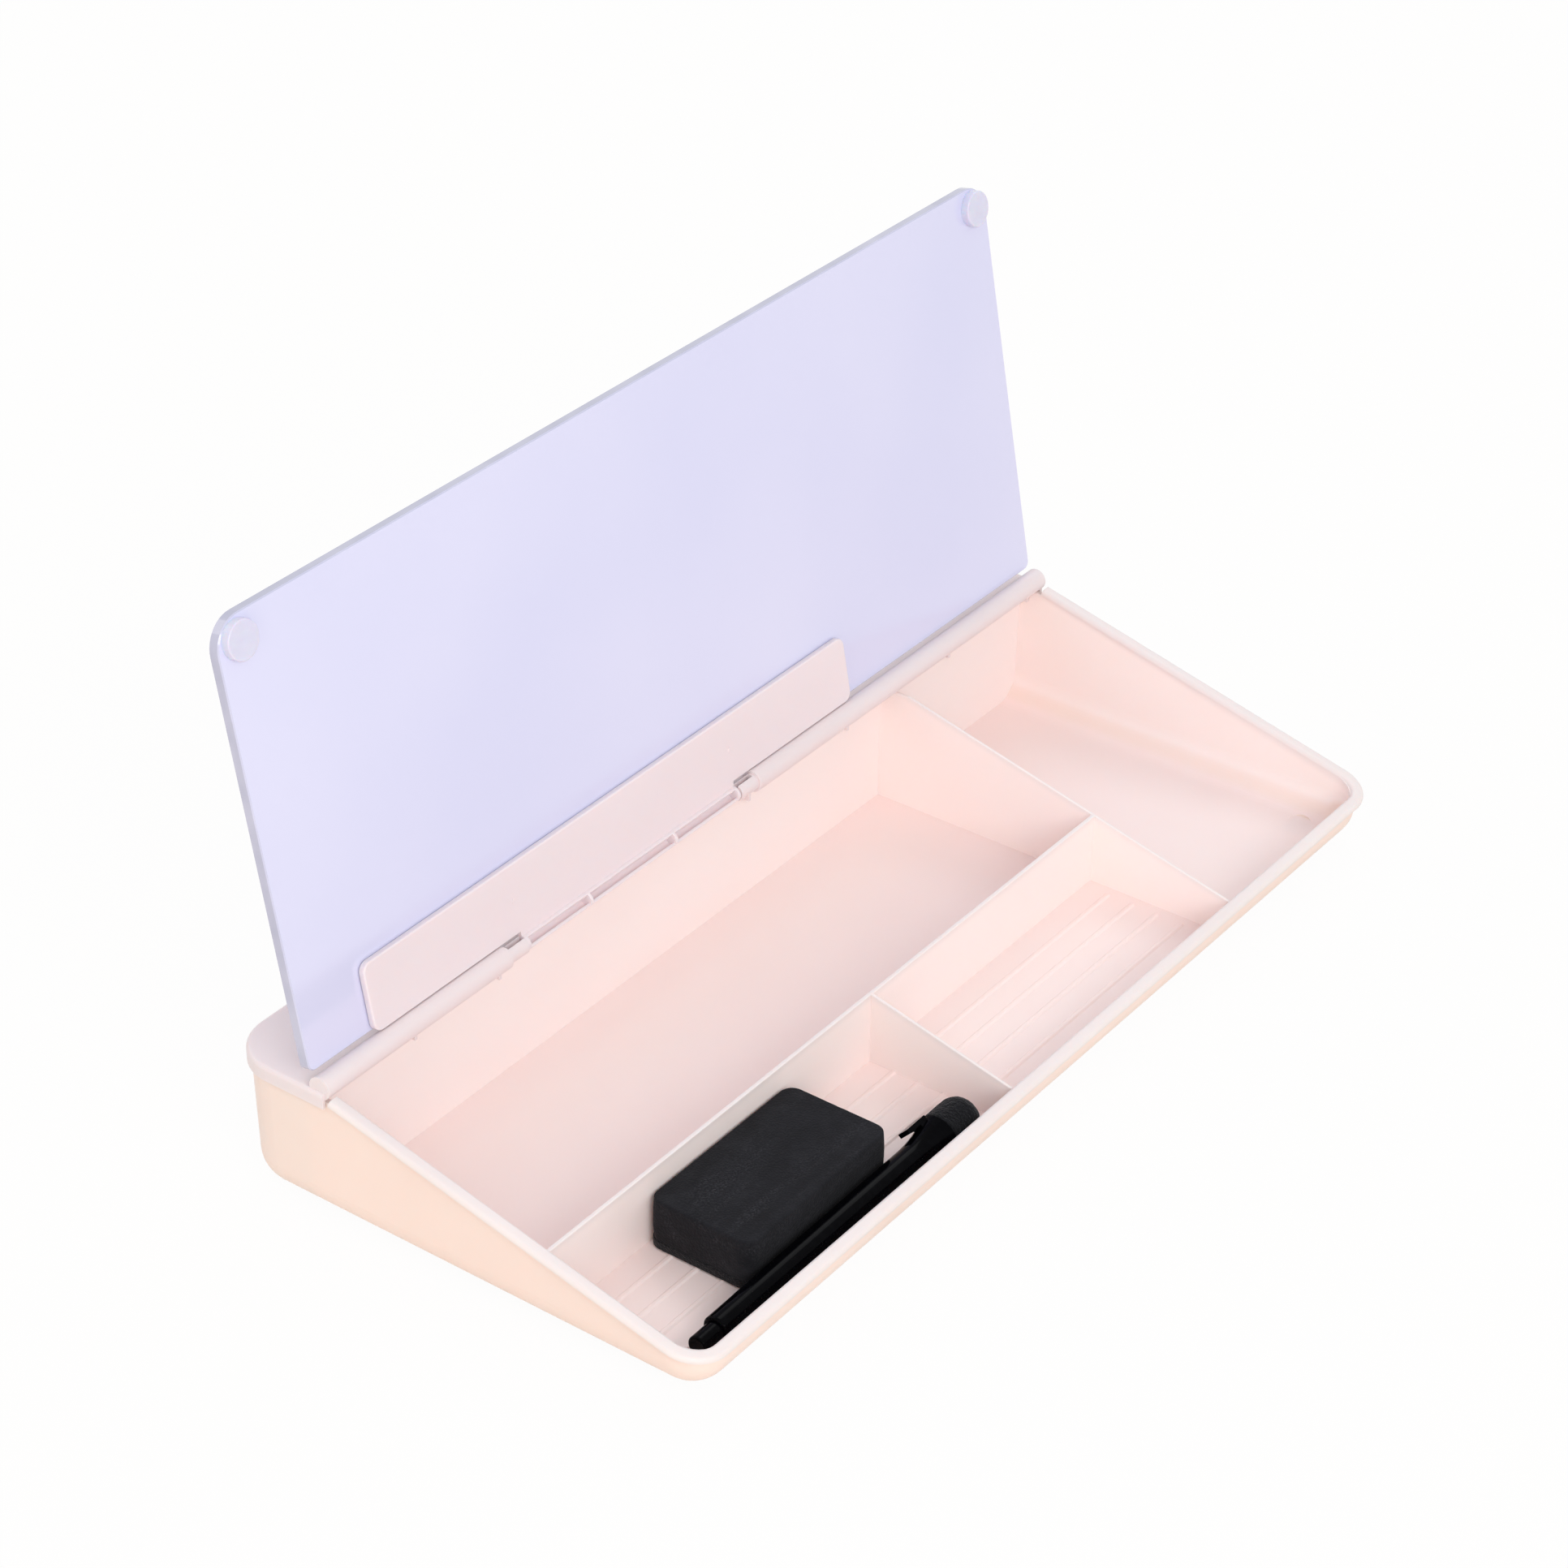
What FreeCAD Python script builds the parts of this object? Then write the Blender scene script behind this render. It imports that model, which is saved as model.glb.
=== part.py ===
import FreeCAD, Part
import math
import os
import Sketcher

# Sizes of the memo board: lengths in millimetres, angles in degrees
SIZES = {
    # Overall places: the hinge axis is the reference for depth, the desk for height
    "cover_width": 402.1,
    "tray_reach": 148.5,
    "cover_reach": 39.8,
    "hinge_above_shelf": 0.95,
    "hinge_offset": 44.85,
    # Tray shell
    "foot_drop": 2.0,
    "floor_thickness": 1.7,
    "tray_wall": 2.0,
    "wall_draft": 1.5,
    "outline_above_shelf": 0.6,
    "front_corner": 14.0,
    "rear_corner": 18.0,
    "base_round": 12.0,
    "floor_round": 10.0,
    "front_setback": 0.9,
    "back_wall_behind_axis": 5.2,
    "back_wall": 1.8,
    # Fit of the tray walls inside the cover
    "lap_clearance": 0.15,
    "nose_wall_gap": 0.4,
    # Rim bead
    "rim_overhang": 0.5,
    "rim_end_drop": 1.8837,
    "rim_front_height": 19.06,
    "rim_width": 4.8,
    "rim_height": 2.0,
    "rim_round": 1.5,
    "rim_corner": 13.5,
    "rim_inner_corner": 8.7,
    "rim_seat": 0.8,
    "rim_cover_gap": 0.4,
    # Dividers and floor ridges
    "divider_drop": 2.1,
    "long_divider_from_front": 61.9,
    "long_divider_thickness": 1.5,
    "cross_divider_thickness": 1.2,
    "right_divider_from_right": 93.8,
    "short_divider_from_left": 172.7,
    "divider_round": 0.4,
    "divider_nose_gap": 0.5,
    "divider_root": 1.0,
    "ridge_base": 2.2,
    "ridge_crest": 1.0,
    "ridge_height": 0.55,
    "ridge_pitch": 10.1,
    "ridge_first_from_front": 20.9,
    "ridge_end_gap": 4.1,
    # Feet and their seats
    "foot_diameter": 10.0,
    "foot_recess": 0.8,
    "foot_clearance": 0.1,
    "foot_round": 0.4,
    "foot_side_inset": 18.95,
    "foot_front_inset": 21.0,
    "foot_rear_inset": 20.0,
    # Round mould mark on the floor of the right compartment
    "mark_diameter": 8.4,
    "mark_depth": 0.15,
    "mark_side_inset": 15.65,
    "mark_front_inset": 21.65,
    # Rear cover
    "shelf_height": 53.4,
    "shelf_thickness": 2.4,
    "skirt_thickness": 1.2,
    "skirt_depth": 5.4,
    "skirt_before_axis": 2.1,
    "cover_round": 1.4,
    "nose_radius": 4.05,
    "nose_wall": 1.8,
    "nose_bite": 0.2,
    "rib_thickness": 1.2,
    "rib_behind_axis": 1.2,
    "rib_wall_gap": 0.4,
    "rib_drop": 7.9,
    "rib_inset": 0.2,
    "groove_end_border": 34.05,
    "groove_width": 16.0,
    "groove_depth": 1.2,
    "groove_round": 1.0,
    "groove_from_rear": 17.4,
    # Hinge
    "lid_angle": 79.26,
    "barrel_length": 114.0,
    "barrel_radius": 2.7,
    "barrel_wall": 1.0,
    "mouth_from": 31.0,
    "mouth_to": 120.0,
    "barrel_end": 1.2,
    "web_thickness": 1.2,
    "web_spacing": 45.6,
    "web_shift": 1.5,
    "pin_radius": 1.2,
    "pin_length": 8.0,
    "pin_clearance": 0.05,
    "pin_end_gap": 0.6,
    "collar_length": 9.2,
    "collar_radius": 3.2,
    "collar_gap": 0.4,
    "collar_web": 1.6,
    "snap_slot": 2.0,
    "stop_edge_behind_axis": 3.7,
    "stop_length": 80.0,
    "stop_thickness": 1.5,
    "stop_reach": 5.2,
    "stop_gap": 0.05,
    # Hinge plate and its tape
    "plate_from_left": 27.7,
    "plate_from_right": 118.1,
    "plate_depth": 24.4,
    "plate_thickness": 2.2,
    "plate_nose_gap": 0.3,
    "plate_corner": 3.5,
    "plate_round": 0.6,
    "tape_thickness": 0.5,
    "tape_border": 1.5,
    "nub_diameter": 1.8,
    "nub_height": 0.3,
    "nub_spacing": 115.2,
    "nub_from_edge": 11.6,
    # Glass board and bumpers
    "board_side_inset": 1.05,
    "board_depth": 151.8,
    "board_thickness": 4.0,
    "board_free_corner": 11.0,
    "board_hinge_corner": 3.0,
    "board_arris": 0.4,
    "board_lift": 4.71,
    "board_offset": 2.57,
    "bumper_diameter": 13.0,
    "bumper_thickness": 3.0,
    "bumper_round": 0.5,
    "bumper_side_inset": 8.5,
    "bumper_free_inset": 7.8,
    # Marker
    "marker_from_left": 17.4,
    "marker_from_front": 14.8,
    "marker_lift": 5.15,
    "marker_yaw": -0.52,
    "marker_pitch": 1.47,
    "marker_radius": 5.0,
    "marker_bore": 4.0,
    "marker_end_wall": 1.0,
    "marker_shoulder": 1.0,
    "tail_radius": 3.7,
    "tail_length": 9.0,
    "tail_round": 0.8,
    "tail_stem": 9.0,
    "tail_hole": 3.0,
    "barrel_span": 85.5,
    "spigot_radius": 4.4,
    "spigot_length": 7.0,
    "spigot_bore": 3.4,
    "marker_fit": 0.05,
    "nose_stem": 6.0,
    "nose_span": 9.0,
    "nose_cone": 5.0,
    "nose_root_radius": 3.9,
    "nose_tip_radius": 2.4,
    "nib_radius": 1.5,
    "nib_reach": 4.5,
    "nib_tail": 8.0,
    "nib_round": 1.2,
    "filler_radius": 3.7,
    "filler_gap": 0.5,
    "cap_span": 31.0,
    "cap_straight": 14.0,
    "cap_flare_radius": 7.8,
    "cap_tip_gap": 1.2,
    "cap_spigot_radius": 4.0,
    "cap_spigot_length": 6.0,
    "clip_turn": 48.0,
    "clip_width": 5.0,
    "clip_length": 9.5,
    "clip_root": 3.5,
    "clip_gap": 2.0,
    "clip_thickness": 1.6,
    "clip_tip": 3.0,
    "clip_lip": 0.5,
    "clip_from_felt": 1.3,
    "felt_radius": 8.0,
    "felt_span": 17.0,
    "felt_round": 6.0,
    # Eraser
    "eraser_from_left": 51.25,
    "eraser_length": 74.6,
    "eraser_from_front": 20.2,
    "eraser_width": 40.5,
    "eraser_foam": 15.7,
    "eraser_felt": 2.9,
    "eraser_corner": 5.0,
    "eraser_round": 1.2,
    "rest_gap": 0.15,
    # Working allowances
    "overrun": 5.0,
    "match": 0.01,
}

# Places of the ribs along half of the nose, from the middle to the right
RIB_SHARES = (-0.768, 0.404, 0.723)
# Ridges on the front floors
RIDGE_COUNT = 4
# One full turn in degrees
FULL_TURN = 360.0


class Size:
    """A quantity that carries its value and its sheet expression."""

    def __init__(self, value, text):
        self.value = value
        self.text = text

    def __add__(self, other):
        other = sized(other)
        return Size(self.value + other.value, "(%s + %s)" % (self.text, other.text))

    def __sub__(self, other):
        other = sized(other)
        return Size(self.value - other.value, "(%s - %s)" % (self.text, other.text))

    def __mul__(self, other):
        other = sized(other)
        return Size(self.value * other.value, "(%s * %s)" % (self.text, other.text))

    def __truediv__(self, other):
        other = sized(other)
        return Size(self.value / other.value, "(%s / %s)" % (self.text, other.text))

    def __neg__(self):
        return Size(-self.value, "(0 - %s)" % self.text)


def sized(item):
    if isinstance(item, Size):
        return item
    return Size(float(item), "%.10g" % item)


def sine(angle):
    return Size(math.sin(math.radians(angle.value)), "sin(%s)" % angle.text)


def cosine(angle):
    return Size(math.cos(math.radians(angle.value)), "cos(%s)" % angle.text)


def tangent(angle):
    return Size(math.tan(math.radians(angle.value)), "tan(%s)" % angle.text)


def slope_angle(rise, run):
    return Size(math.degrees(math.atan2(rise.value, run.value)), "atan(%s / %s)" % (rise.text, run.text))


class Names:
    """Holds one Size for each row of the sheet."""


doc = FreeCAD.newDocument("memo_board")
sheet = doc.addObject("Spreadsheet::Sheet", "Sizes")
s = Names()
for row, (alias, value) in enumerate(SIZES.items(), 1):
    sheet.set("A%d" % row, alias)
    sheet.set("B%d" % row, str(value))
    sheet.setAlias("B%d" % row, alias)
    setattr(s, alias, Size(value, "Sizes." + alias))
doc.recompute()

ZERO = Size(0.0, "0")
X_AXIS = FreeCAD.Vector(1, 0, 0)
Z_AXIS = FreeCAD.Vector(0, 0, 1)
nodes = []


# Helpers for bound placements, sketches and features
def vector(*items):
    return FreeCAD.Vector(*[sized(item).value for item in items])


def bind_base(item, path, base):
    for letter, part in zip("xyz", base):
        if part.text != "0":
            item.setExpression("%s.Base.%s" % (path, letter), part.text)


def place(item, base, turn=None, axis=X_AXIS):
    rotation = FreeCAD.Rotation()
    if turn is not None:
        rotation = FreeCAD.Rotation(axis, turn.value)
    item.Placement = FreeCAD.Placement(vector(*base), rotation)
    bind_base(item, ".Placement", base)
    if turn is not None:
        item.setExpression(".Placement.Rotation.Angle", turn.text)


def new_body(name):
    return doc.addObject("PartDesign::Body", name)


def origin_item(body, role):
    for item in body.Origin.OriginFeatures:
        if item.Role == role:
            return item
    raise ValueError("no origin item " + role)


def sketch_on(body, name, role, base=(ZERO, ZERO, ZERO), tilt=None):
    sketch = body.newObject("Sketcher::SketchObject", name)
    sketch.AttachmentSupport = [(origin_item(body, role), "")]
    sketch.MapMode = "FlatFace"
    rotation = FreeCAD.Rotation()
    if tilt is not None:
        rotation = FreeCAD.Rotation(X_AXIS, tilt.value)
    sketch.AttachmentOffset = FreeCAD.Placement(vector(*base), rotation)
    bind_base(sketch, ".AttachmentOffset", base)
    if tilt is not None:
        sketch.setExpression(".AttachmentOffset.Rotation.Angle", tilt.text)
    return sketch


def pin_point(sketch, geometry, end, point):
    for kind, axis, part in (("DistanceX", -2, point[0]), ("DistanceY", -1, point[1])):
        if part.text == "0":
            sketch.addConstraint(Sketcher.Constraint("PointOnObject", geometry, end, axis))
        else:
            held = sketch.addConstraint(Sketcher.Constraint(kind, -1, 1, geometry, end, part.value))
            sketch.setExpression("Constraints[%d]" % held, part.text)


def polygon(sketch, points, arcs=None):
    arcs = arcs or {}
    first = sketch.GeometryCount
    count = len(points)
    for index in range(count):
        start = vector(points[index][0], points[index][1], ZERO)
        after = points[(index + 1) % count]
        stop = vector(after[0], after[1], ZERO)
        side = Part.LineSegment(start, stop)
        if index in arcs:
            centre, radius = arcs[index]
            middle = vector(centre[0], centre[1], ZERO)
            whole = Part.Circle(middle, Z_AXIS, radius.value)
            side = Part.ArcOfCircle(whole, whole.parameter(start), whole.parameter(stop))
        sketch.addGeometry(side, False)
    for index in range(count):
        follower = first + (index + 1) % count
        sketch.addConstraint(Sketcher.Constraint("Coincident", first + index, 2, follower, 1))
    for index in range(count):
        pin_point(sketch, first + index, 1, points[index])
    for index, (centre, radius) in arcs.items():
        held = sketch.addConstraint(Sketcher.Constraint("Radius", first + index, radius.value))
        sketch.setExpression("Constraints[%d]" % held, radius.text)


def rectangle(sketch, left, right, low, high):
    polygon(sketch, ((left, low), (right, low), (right, high), (left, high)))


def circle(sketch, centre, radius):
    shape = Part.Circle(vector(centre[0], centre[1], ZERO), Z_AXIS, radius.value)
    index = sketch.addGeometry(shape, False)
    pin_point(sketch, index, 3, centre)
    held = sketch.addConstraint(Sketcher.Constraint("Radius", index, radius.value))
    sketch.setExpression("Constraints[%d]" % held, radius.text)


def pad(body, name, sketch, length, backward=False):
    feature = body.newObject("PartDesign::Pad", name)
    feature.Profile = sketch
    feature.Length = length.value
    feature.setExpression("Length", length.text)
    feature.Reversed = backward
    sketch.Visibility = False
    doc.recompute()
    return feature


def pocket(body, name, sketch, length, forward=True):
    before = body.Shape.Volume
    feature = body.newObject("PartDesign::Pocket", name)
    feature.Profile = sketch
    feature.Length = length.value
    feature.setExpression("Length", length.text)
    feature.Reversed = forward
    sketch.Visibility = False
    doc.recompute()
    if not body.Shape.Volume < before:
        raise ValueError("nothing removed by " + name)
    return feature


def turned(body, name, points, arcs=None):
    sketch = sketch_on(body, name + "_profile", "XY_Plane")
    polygon(sketch, points, arcs)
    feature = body.newObject("PartDesign::Revolution", name)
    feature.Profile = sketch
    feature.ReferenceAxis = (origin_item(body, "X_Axis"), [""])
    feature.Angle = FULL_TURN
    sketch.Visibility = False
    doc.recompute()
    return feature


def near(first, second):
    return abs(first - sized(second).value) < s.match.value


def edge_names(feature, test):
    names = []
    for number, edge in enumerate(feature.Shape.Edges, 1):
        if test(edge):
            names.append("Edge%d" % number)
    if not names:
        raise ValueError("no edges found on " + feature.Name)
    return names


def face_names(feature, test):
    names = []
    for number, face in enumerate(feature.Shape.Faces, 1):
        if test(face):
            names.append("Face%d" % number)
    if not names:
        raise ValueError("no faces found on " + feature.Name)
    return names


def rounded(body, name, base, names, radius):
    feature = body.newObject("PartDesign::Fillet", name)
    feature.Base = (base, names)
    feature.Radius = radius.value
    feature.setExpression("Radius", radius.text)
    doc.recompute()
    return feature


def bevelled(body, name, base, names, width):
    feature = body.newObject("PartDesign::Chamfer", name)
    feature.Base = (base, names)
    feature.Size = width.value
    feature.setExpression("Size", width.text)
    doc.recompute()
    return feature


def at_level(edge, height):
    return near(edge.BoundBox.ZMin, height) and near(edge.BoundBox.ZMax, height)


def is_upright(edge, x, y):
    box = edge.BoundBox
    if box.ZLength < s.match.value:
        return False
    in_x = near(box.XMin, x) and near(box.XMax, x)
    return in_x and near(box.YMin, y) and near(box.YMax, y)


def is_ring(edge, x):
    return near(edge.BoundBox.XMin, x) and near(edge.BoundBox.XMax, x)


def fuse(name, shapes):
    result = doc.addObject("Part::MultiFuse", name)
    result.Shapes = shapes
    result.Refine = True
    doc.recompute()
    return result


def cut(name, base, tool):
    result = doc.addObject("Part::Cut", name)
    result.Base = base
    result.Tool = tool
    result.Refine = True
    doc.recompute()
    return result


def common(name, base, tool):
    result = doc.addObject("Part::Common", name)
    result.Base = base
    result.Tool = tool
    doc.recompute()
    return result


def block(name, low, high):
    item = doc.addObject("Part::Box", name)
    for side, index in (("Length", 0), ("Width", 1), ("Height", 2)):
        span = high[index] - low[index]
        setattr(item, side, span.value)
        item.setExpression(side, span.text)
    place(item, low)
    return item


def rod(name, start, radius, length):
    item = doc.addObject("Part::Cylinder", name)
    item.Radius = radius.value
    item.setExpression("Radius", radius.text)
    item.Height = length.value
    item.setExpression("Height", length.text)
    item.Placement = FreeCAD.Placement(vector(*start), FreeCAD.Rotation(Z_AXIS, X_AXIS))
    bind_base(item, ".Placement", start)
    return item


def side_profile(name, points, start, length):
    body = new_body(name)
    sketch = sketch_on(body, name + "_outline", "YZ_Plane", (ZERO, ZERO, start))
    polygon(sketch, points)
    pad(body, name + "_pad", sketch, length)
    return body


def finish(item, label):
    item.Label = label
    nodes.append(item)


# Shared places
depth = s.tray_reach + s.cover_reach
front = -depth / 2
rear = depth / 2
axis_y = front + s.tray_reach
axis_z = s.shelf_height + s.hinge_above_shelf
base_z = s.foot_drop
floor_z = base_z + s.floor_thickness
half_cover = s.cover_width / 2
wall_inset = s.skirt_thickness + s.lap_clearance
half_shell = half_cover - wall_inset
shell_front = front + s.front_setback
shell_rear = rear - wall_inset
shell_rear_corner = s.rear_corner - wall_inset
back_wall_front = axis_y + s.back_wall_behind_axis
back_wall_rear = back_wall_front + s.back_wall
rim_rear = axis_y - s.nose_radius - s.rim_cover_gap
under_nose_wall = axis_z - s.nose_radius - s.nose_wall_gap
behind_nose_wall = axis_y + s.nose_radius + s.nose_wall_gap
shelf_under = s.shelf_height - s.shelf_thickness
skirt_bottom = s.shelf_height - s.skirt_depth
outline_height = s.shelf_height + s.outline_above_shelf

# The rim climbs from its front height to just below the hinge axis
rim_run_start = front + s.rim_width / 2
rim_slope = slope_angle(axis_z - s.rim_end_drop - s.rim_front_height, rim_rear - rim_run_start)


def crest_height(y):
    return s.rim_front_height + (y - rim_run_start) * tangent(rim_slope)


# Tray: drafted blocks for the shell and for its two hollows
def drafted_block(name, half_width, low_y, high_y, bottom, corners, plain_y, edge_round):
    body = new_body(name)
    sketch = sketch_on(body, name + "_outline", "XY_Plane", (ZERO, ZERO, outline_height))
    rectangle(sketch, -half_width, half_width, low_y, high_y)
    step = pad(body, name + "_pad", sketch, outline_height - bottom, backward=True)
    for number, (corner_y, radius) in enumerate(corners):
        chosen = edge_names(step, lambda edge: is_upright(edge, half_width, corner_y)
                            or is_upright(edge, -half_width, corner_y))
        step = rounded(body, "%s_corner_%d" % (name, number), step, chosen, radius)

    def is_side(face):
        box = face.BoundBox
        if box.ZLength < s.match.value:
            return False
        if plain_y is None:
            return True
        return not (near(box.YMin, plain_y) and near(box.YMax, plain_y))

    top_face = face_names(step, lambda face: near(face.BoundBox.ZMin, outline_height))
    draft = body.newObject("PartDesign::Draft", name + "_draft")
    draft.Base = (step, face_names(step, is_side))
    draft.NeutralPlane = (step, top_face)
    draft.Angle = s.wall_draft.value
    draft.setExpression("Angle", s.wall_draft.text)
    draft.Reversed = False
    before = step.Shape.Volume
    doc.recompute()
    if not draft.Shape.Volume < before:
        draft.Reversed = True
        doc.recompute()

    def is_base_edge(edge):
        if not at_level(edge, bottom):
            return False
        if plain_y is None:
            return True
        return not (near(edge.BoundBox.YMin, plain_y) and near(edge.BoundBox.YMax, plain_y))

    rounded(body, name + "_base_round", draft, edge_names(draft, is_base_edge), edge_round)
    return body


shell_corners = ((shell_front, s.front_corner), (shell_rear, shell_rear_corner))
shell_block = drafted_block("shell_block", half_shell, shell_front, shell_rear, base_z,
                            shell_corners, None, s.base_round)
half_core = half_shell - s.tray_wall
core_front = shell_front + s.tray_wall
core_rear = shell_rear - s.tray_wall
main_core = drafted_block("main_core", half_core, core_front, back_wall_front, floor_z,
                          ((core_front, s.front_corner - s.tray_wall),), back_wall_front, s.floor_round)
rear_core = drafted_block("rear_core", half_core, back_wall_rear, core_rear, floor_z,
                          ((core_rear, shell_rear_corner - s.tray_wall),), back_wall_rear, s.floor_round)

# Tray: sloping top of the walls, a step under the nose, and the seat for the shelf
wall_drop = s.rim_height / cosine(rim_slope) - s.rim_seat
cut_front = front - s.overrun
top_points = (
    (cut_front, crest_height(cut_front) - wall_drop),
    (rim_rear, crest_height(rim_rear) - wall_drop),
    (rim_rear, under_nose_wall),
    (behind_nose_wall, under_nose_wall),
    (behind_nose_wall, shelf_under),
    (rear + s.overrun, shelf_under),
    (rear + s.overrun, outline_height + s.overrun),
    (cut_front, outline_height + s.overrun),
)
cut_reach = half_cover + s.overrun
top_cut = side_profile("top_cut", top_points, -cut_reach, cut_reach * 2)
open_shell = cut("open_shell", shell_block, top_cut)

cores = fuse("cores", [main_core, rear_core])
hollow_shell = cut("hollow_shell", open_shell, cores)

# Tray: rounded bead along the rim
rim = new_body("rim")
half_rim = half_cover + s.rim_overhang
lean = s.rim_round * (Size(1.0, "1") - cosine(rim_slope))
lean = lean + (s.rim_height - s.rim_round) * sine(rim_slope)
rim_start = lean / cosine(rim_slope)
rim_end = (rim_rear - front) / cosine(rim_slope)
rim_plane_z = crest_height(front) - s.rim_height / cosine(rim_slope)
rim_sketch = sketch_on(rim, "rim_outline", "XY_Plane", (ZERO, front, rim_plane_z), rim_slope)
rim_points = (
    (-half_rim, rim_end),
    (-half_rim, rim_start),
    (half_rim, rim_start),
    (half_rim, rim_end),
    (half_rim - s.rim_width, rim_end),
    (half_rim - s.rim_width, rim_start + s.rim_width),
    (s.rim_width - half_rim, rim_start + s.rim_width),
    (s.rim_width - half_rim, rim_end),
)
polygon(rim_sketch, rim_points)
rim_step = pad(rim, "rim_pad", rim_sketch, s.rim_height)


def rim_corner_edges(feature, x, along):
    foot = vector(x, front + along * cosine(rim_slope), rim_plane_z + along * sine(rim_slope))
    rise = FreeCAD.Rotation(X_AXIS, rim_slope.value).multVec(Z_AXIS)
    line = Part.makeLine(foot, foot + rise * s.rim_height.value)
    return edge_names(feature, lambda edge: near(edge.CenterOfMass.distanceToPoint(line.CenterOfMass), ZERO))


for number, (x, along, radius) in enumerate((
    (-half_rim, rim_start, s.rim_corner),
    (half_rim, rim_start, s.rim_corner),
    (s.rim_width - half_rim, rim_start + s.rim_width, s.rim_inner_corner),
    (half_rim - s.rim_width, rim_start + s.rim_width, s.rim_inner_corner),
)):
    rim_step = rounded(rim, "rim_corner_%d" % number, rim_step, rim_corner_edges(rim_step, x, along), radius)


def is_rim_crest_edge(edge):
    for vertex in edge.Vertexes:
        if not near(vertex.Z, crest_height(Size(vertex.Y, "0"))):
            return False
    ends = [vertex.Y for vertex in edge.Vertexes]
    return not (near(ends[0], ends[-1]) and ends[0] > axis_y.value - s.tray_reach.value / 2)


rounded(rim, "rim_round", rim_step, edge_names(rim_step, is_rim_crest_edge), s.rim_round)

# Tray: dividers with rounded tops, and ridges on the front floors
divider_foot = floor_z - s.divider_root
long_y = front + s.long_divider_from_front
half_long = s.long_divider_thickness / 2
long_top = crest_height(long_y) - s.divider_drop
right_divider_x = half_cover - s.right_divider_from_right
short_divider_x = s.short_divider_from_left - half_cover


def divider_body(name, points, start, thickness):
    body = side_profile(name, points, start, thickness)
    step = body.Tip
    low = start.value
    high = (start + thickness).value

    def is_top_edge(edge):
        box = edge.BoundBox
        flat = near(box.XMin, box.XMax) and (near(box.XMin, low) or near(box.XMin, high))
        return flat and box.ZMin > divider_foot.value + s.match.value and box.YLength > s.overrun.value
    rounded(body, name + "_round", step, edge_names(step, is_top_edge), s.divider_round)
    return body


long_divider = new_body("long_divider")
long_sketch = sketch_on(long_divider, "long_divider_outline", "YZ_Plane", (ZERO, ZERO, -half_shell))
rectangle(long_sketch, long_y - half_long, long_y + half_long, divider_foot, long_top)
long_pad = pad(long_divider, "long_divider_pad", long_sketch, half_shell + right_divider_x)
long_edges = edge_names(long_pad, lambda edge: at_level(edge, long_top) and edge.BoundBox.XLength > s.overrun.value)
rounded(long_divider, "long_divider_round", long_pad, long_edges, s.divider_round)

half_cross = s.cross_divider_thickness / 2
under_nose = axis_z - s.nose_radius - s.divider_nose_gap
level_y = rim_run_start + (under_nose + s.divider_drop - s.rim_front_height) / tangent(rim_slope)
right_points = (
    (shell_front, divider_foot),
    (back_wall_front + s.back_wall / 2, divider_foot),
    (back_wall_front + s.back_wall / 2, under_nose),
    (level_y, under_nose),
    (shell_front, crest_height(shell_front) - s.divider_drop),
)
right_divider = divider_body("right_divider", right_points, right_divider_x - half_cross,
                             s.cross_divider_thickness)
short_points = (
    (shell_front, divider_foot),
    (long_y, divider_foot),
    (long_y, long_top),
    (shell_front, crest_height(shell_front) - s.divider_drop),
)
short_divider = divider_body("short_divider", short_points, short_divider_x - half_cross,
                             s.cross_divider_thickness)

ridges = new_body("ridges")
ridge_y = front + s.ridge_first_from_front
ridge_foot = floor_z - s.ridge_height
ridge_sketch = sketch_on(ridges, "ridge_outline", "YZ_Plane", (ZERO, ZERO, -half_core))
ridge_points = (
    (ridge_y - s.ridge_base / 2, ridge_foot),
    (ridge_y + s.ridge_base / 2, ridge_foot),
    (ridge_y + s.ridge_base / 2, floor_z),
    (ridge_y + s.ridge_crest / 2, floor_z + s.ridge_height),
    (ridge_y - s.ridge_crest / 2, floor_z + s.ridge_height),
    (ridge_y - s.ridge_base / 2, floor_z),
)
polygon(ridge_sketch, ridge_points)
ridge_length = half_core + right_divider_x - half_cross - s.ridge_end_gap
ridge_pad = pad(ridges, "ridge_pad", ridge_sketch, ridge_length)
ridge_row = ridges.newObject("PartDesign::LinearPattern", "ridge_row")
ridge_row.Originals = [ridge_pad]
ridge_row.Direction = (origin_item(ridges, "Y_Axis"), [""])
ridge_span = s.ridge_pitch * (RIDGE_COUNT - 1)
ridge_row.Length = ridge_span.value
ridge_row.setExpression("Length", ridge_span.text)
ridge_row.Occurrences = RIDGE_COUNT
ridges.Tip = ridge_row
doc.recompute()
inner_walls = fuse("inner_walls", [long_divider, right_divider, short_divider, ridges])
clipped_walls = common("clipped_walls", inner_walls, shell_block)

# Tray: seats for the feet, and a round mould mark in the right compartment
foot_x = half_cover - s.foot_side_inset
foot_places = {
    "foot_front_left": (-foot_x, front + s.foot_front_inset),
    "foot_front_right": (foot_x, front + s.foot_front_inset),
    "foot_rear_left": (-foot_x, rear - s.foot_rear_inset),
    "foot_rear_right": (foot_x, rear - s.foot_rear_inset),
}
foot_radius = s.foot_diameter / 2


def round_posts(name, places, radius, bottom, height):
    body = new_body(name)
    sketch = sketch_on(body, name + "_outline", "XY_Plane", (ZERO, ZERO, bottom))
    for middle in places:
        circle(sketch, middle, radius)
    pad(body, name + "_pad", sketch, height)
    return body


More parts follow.
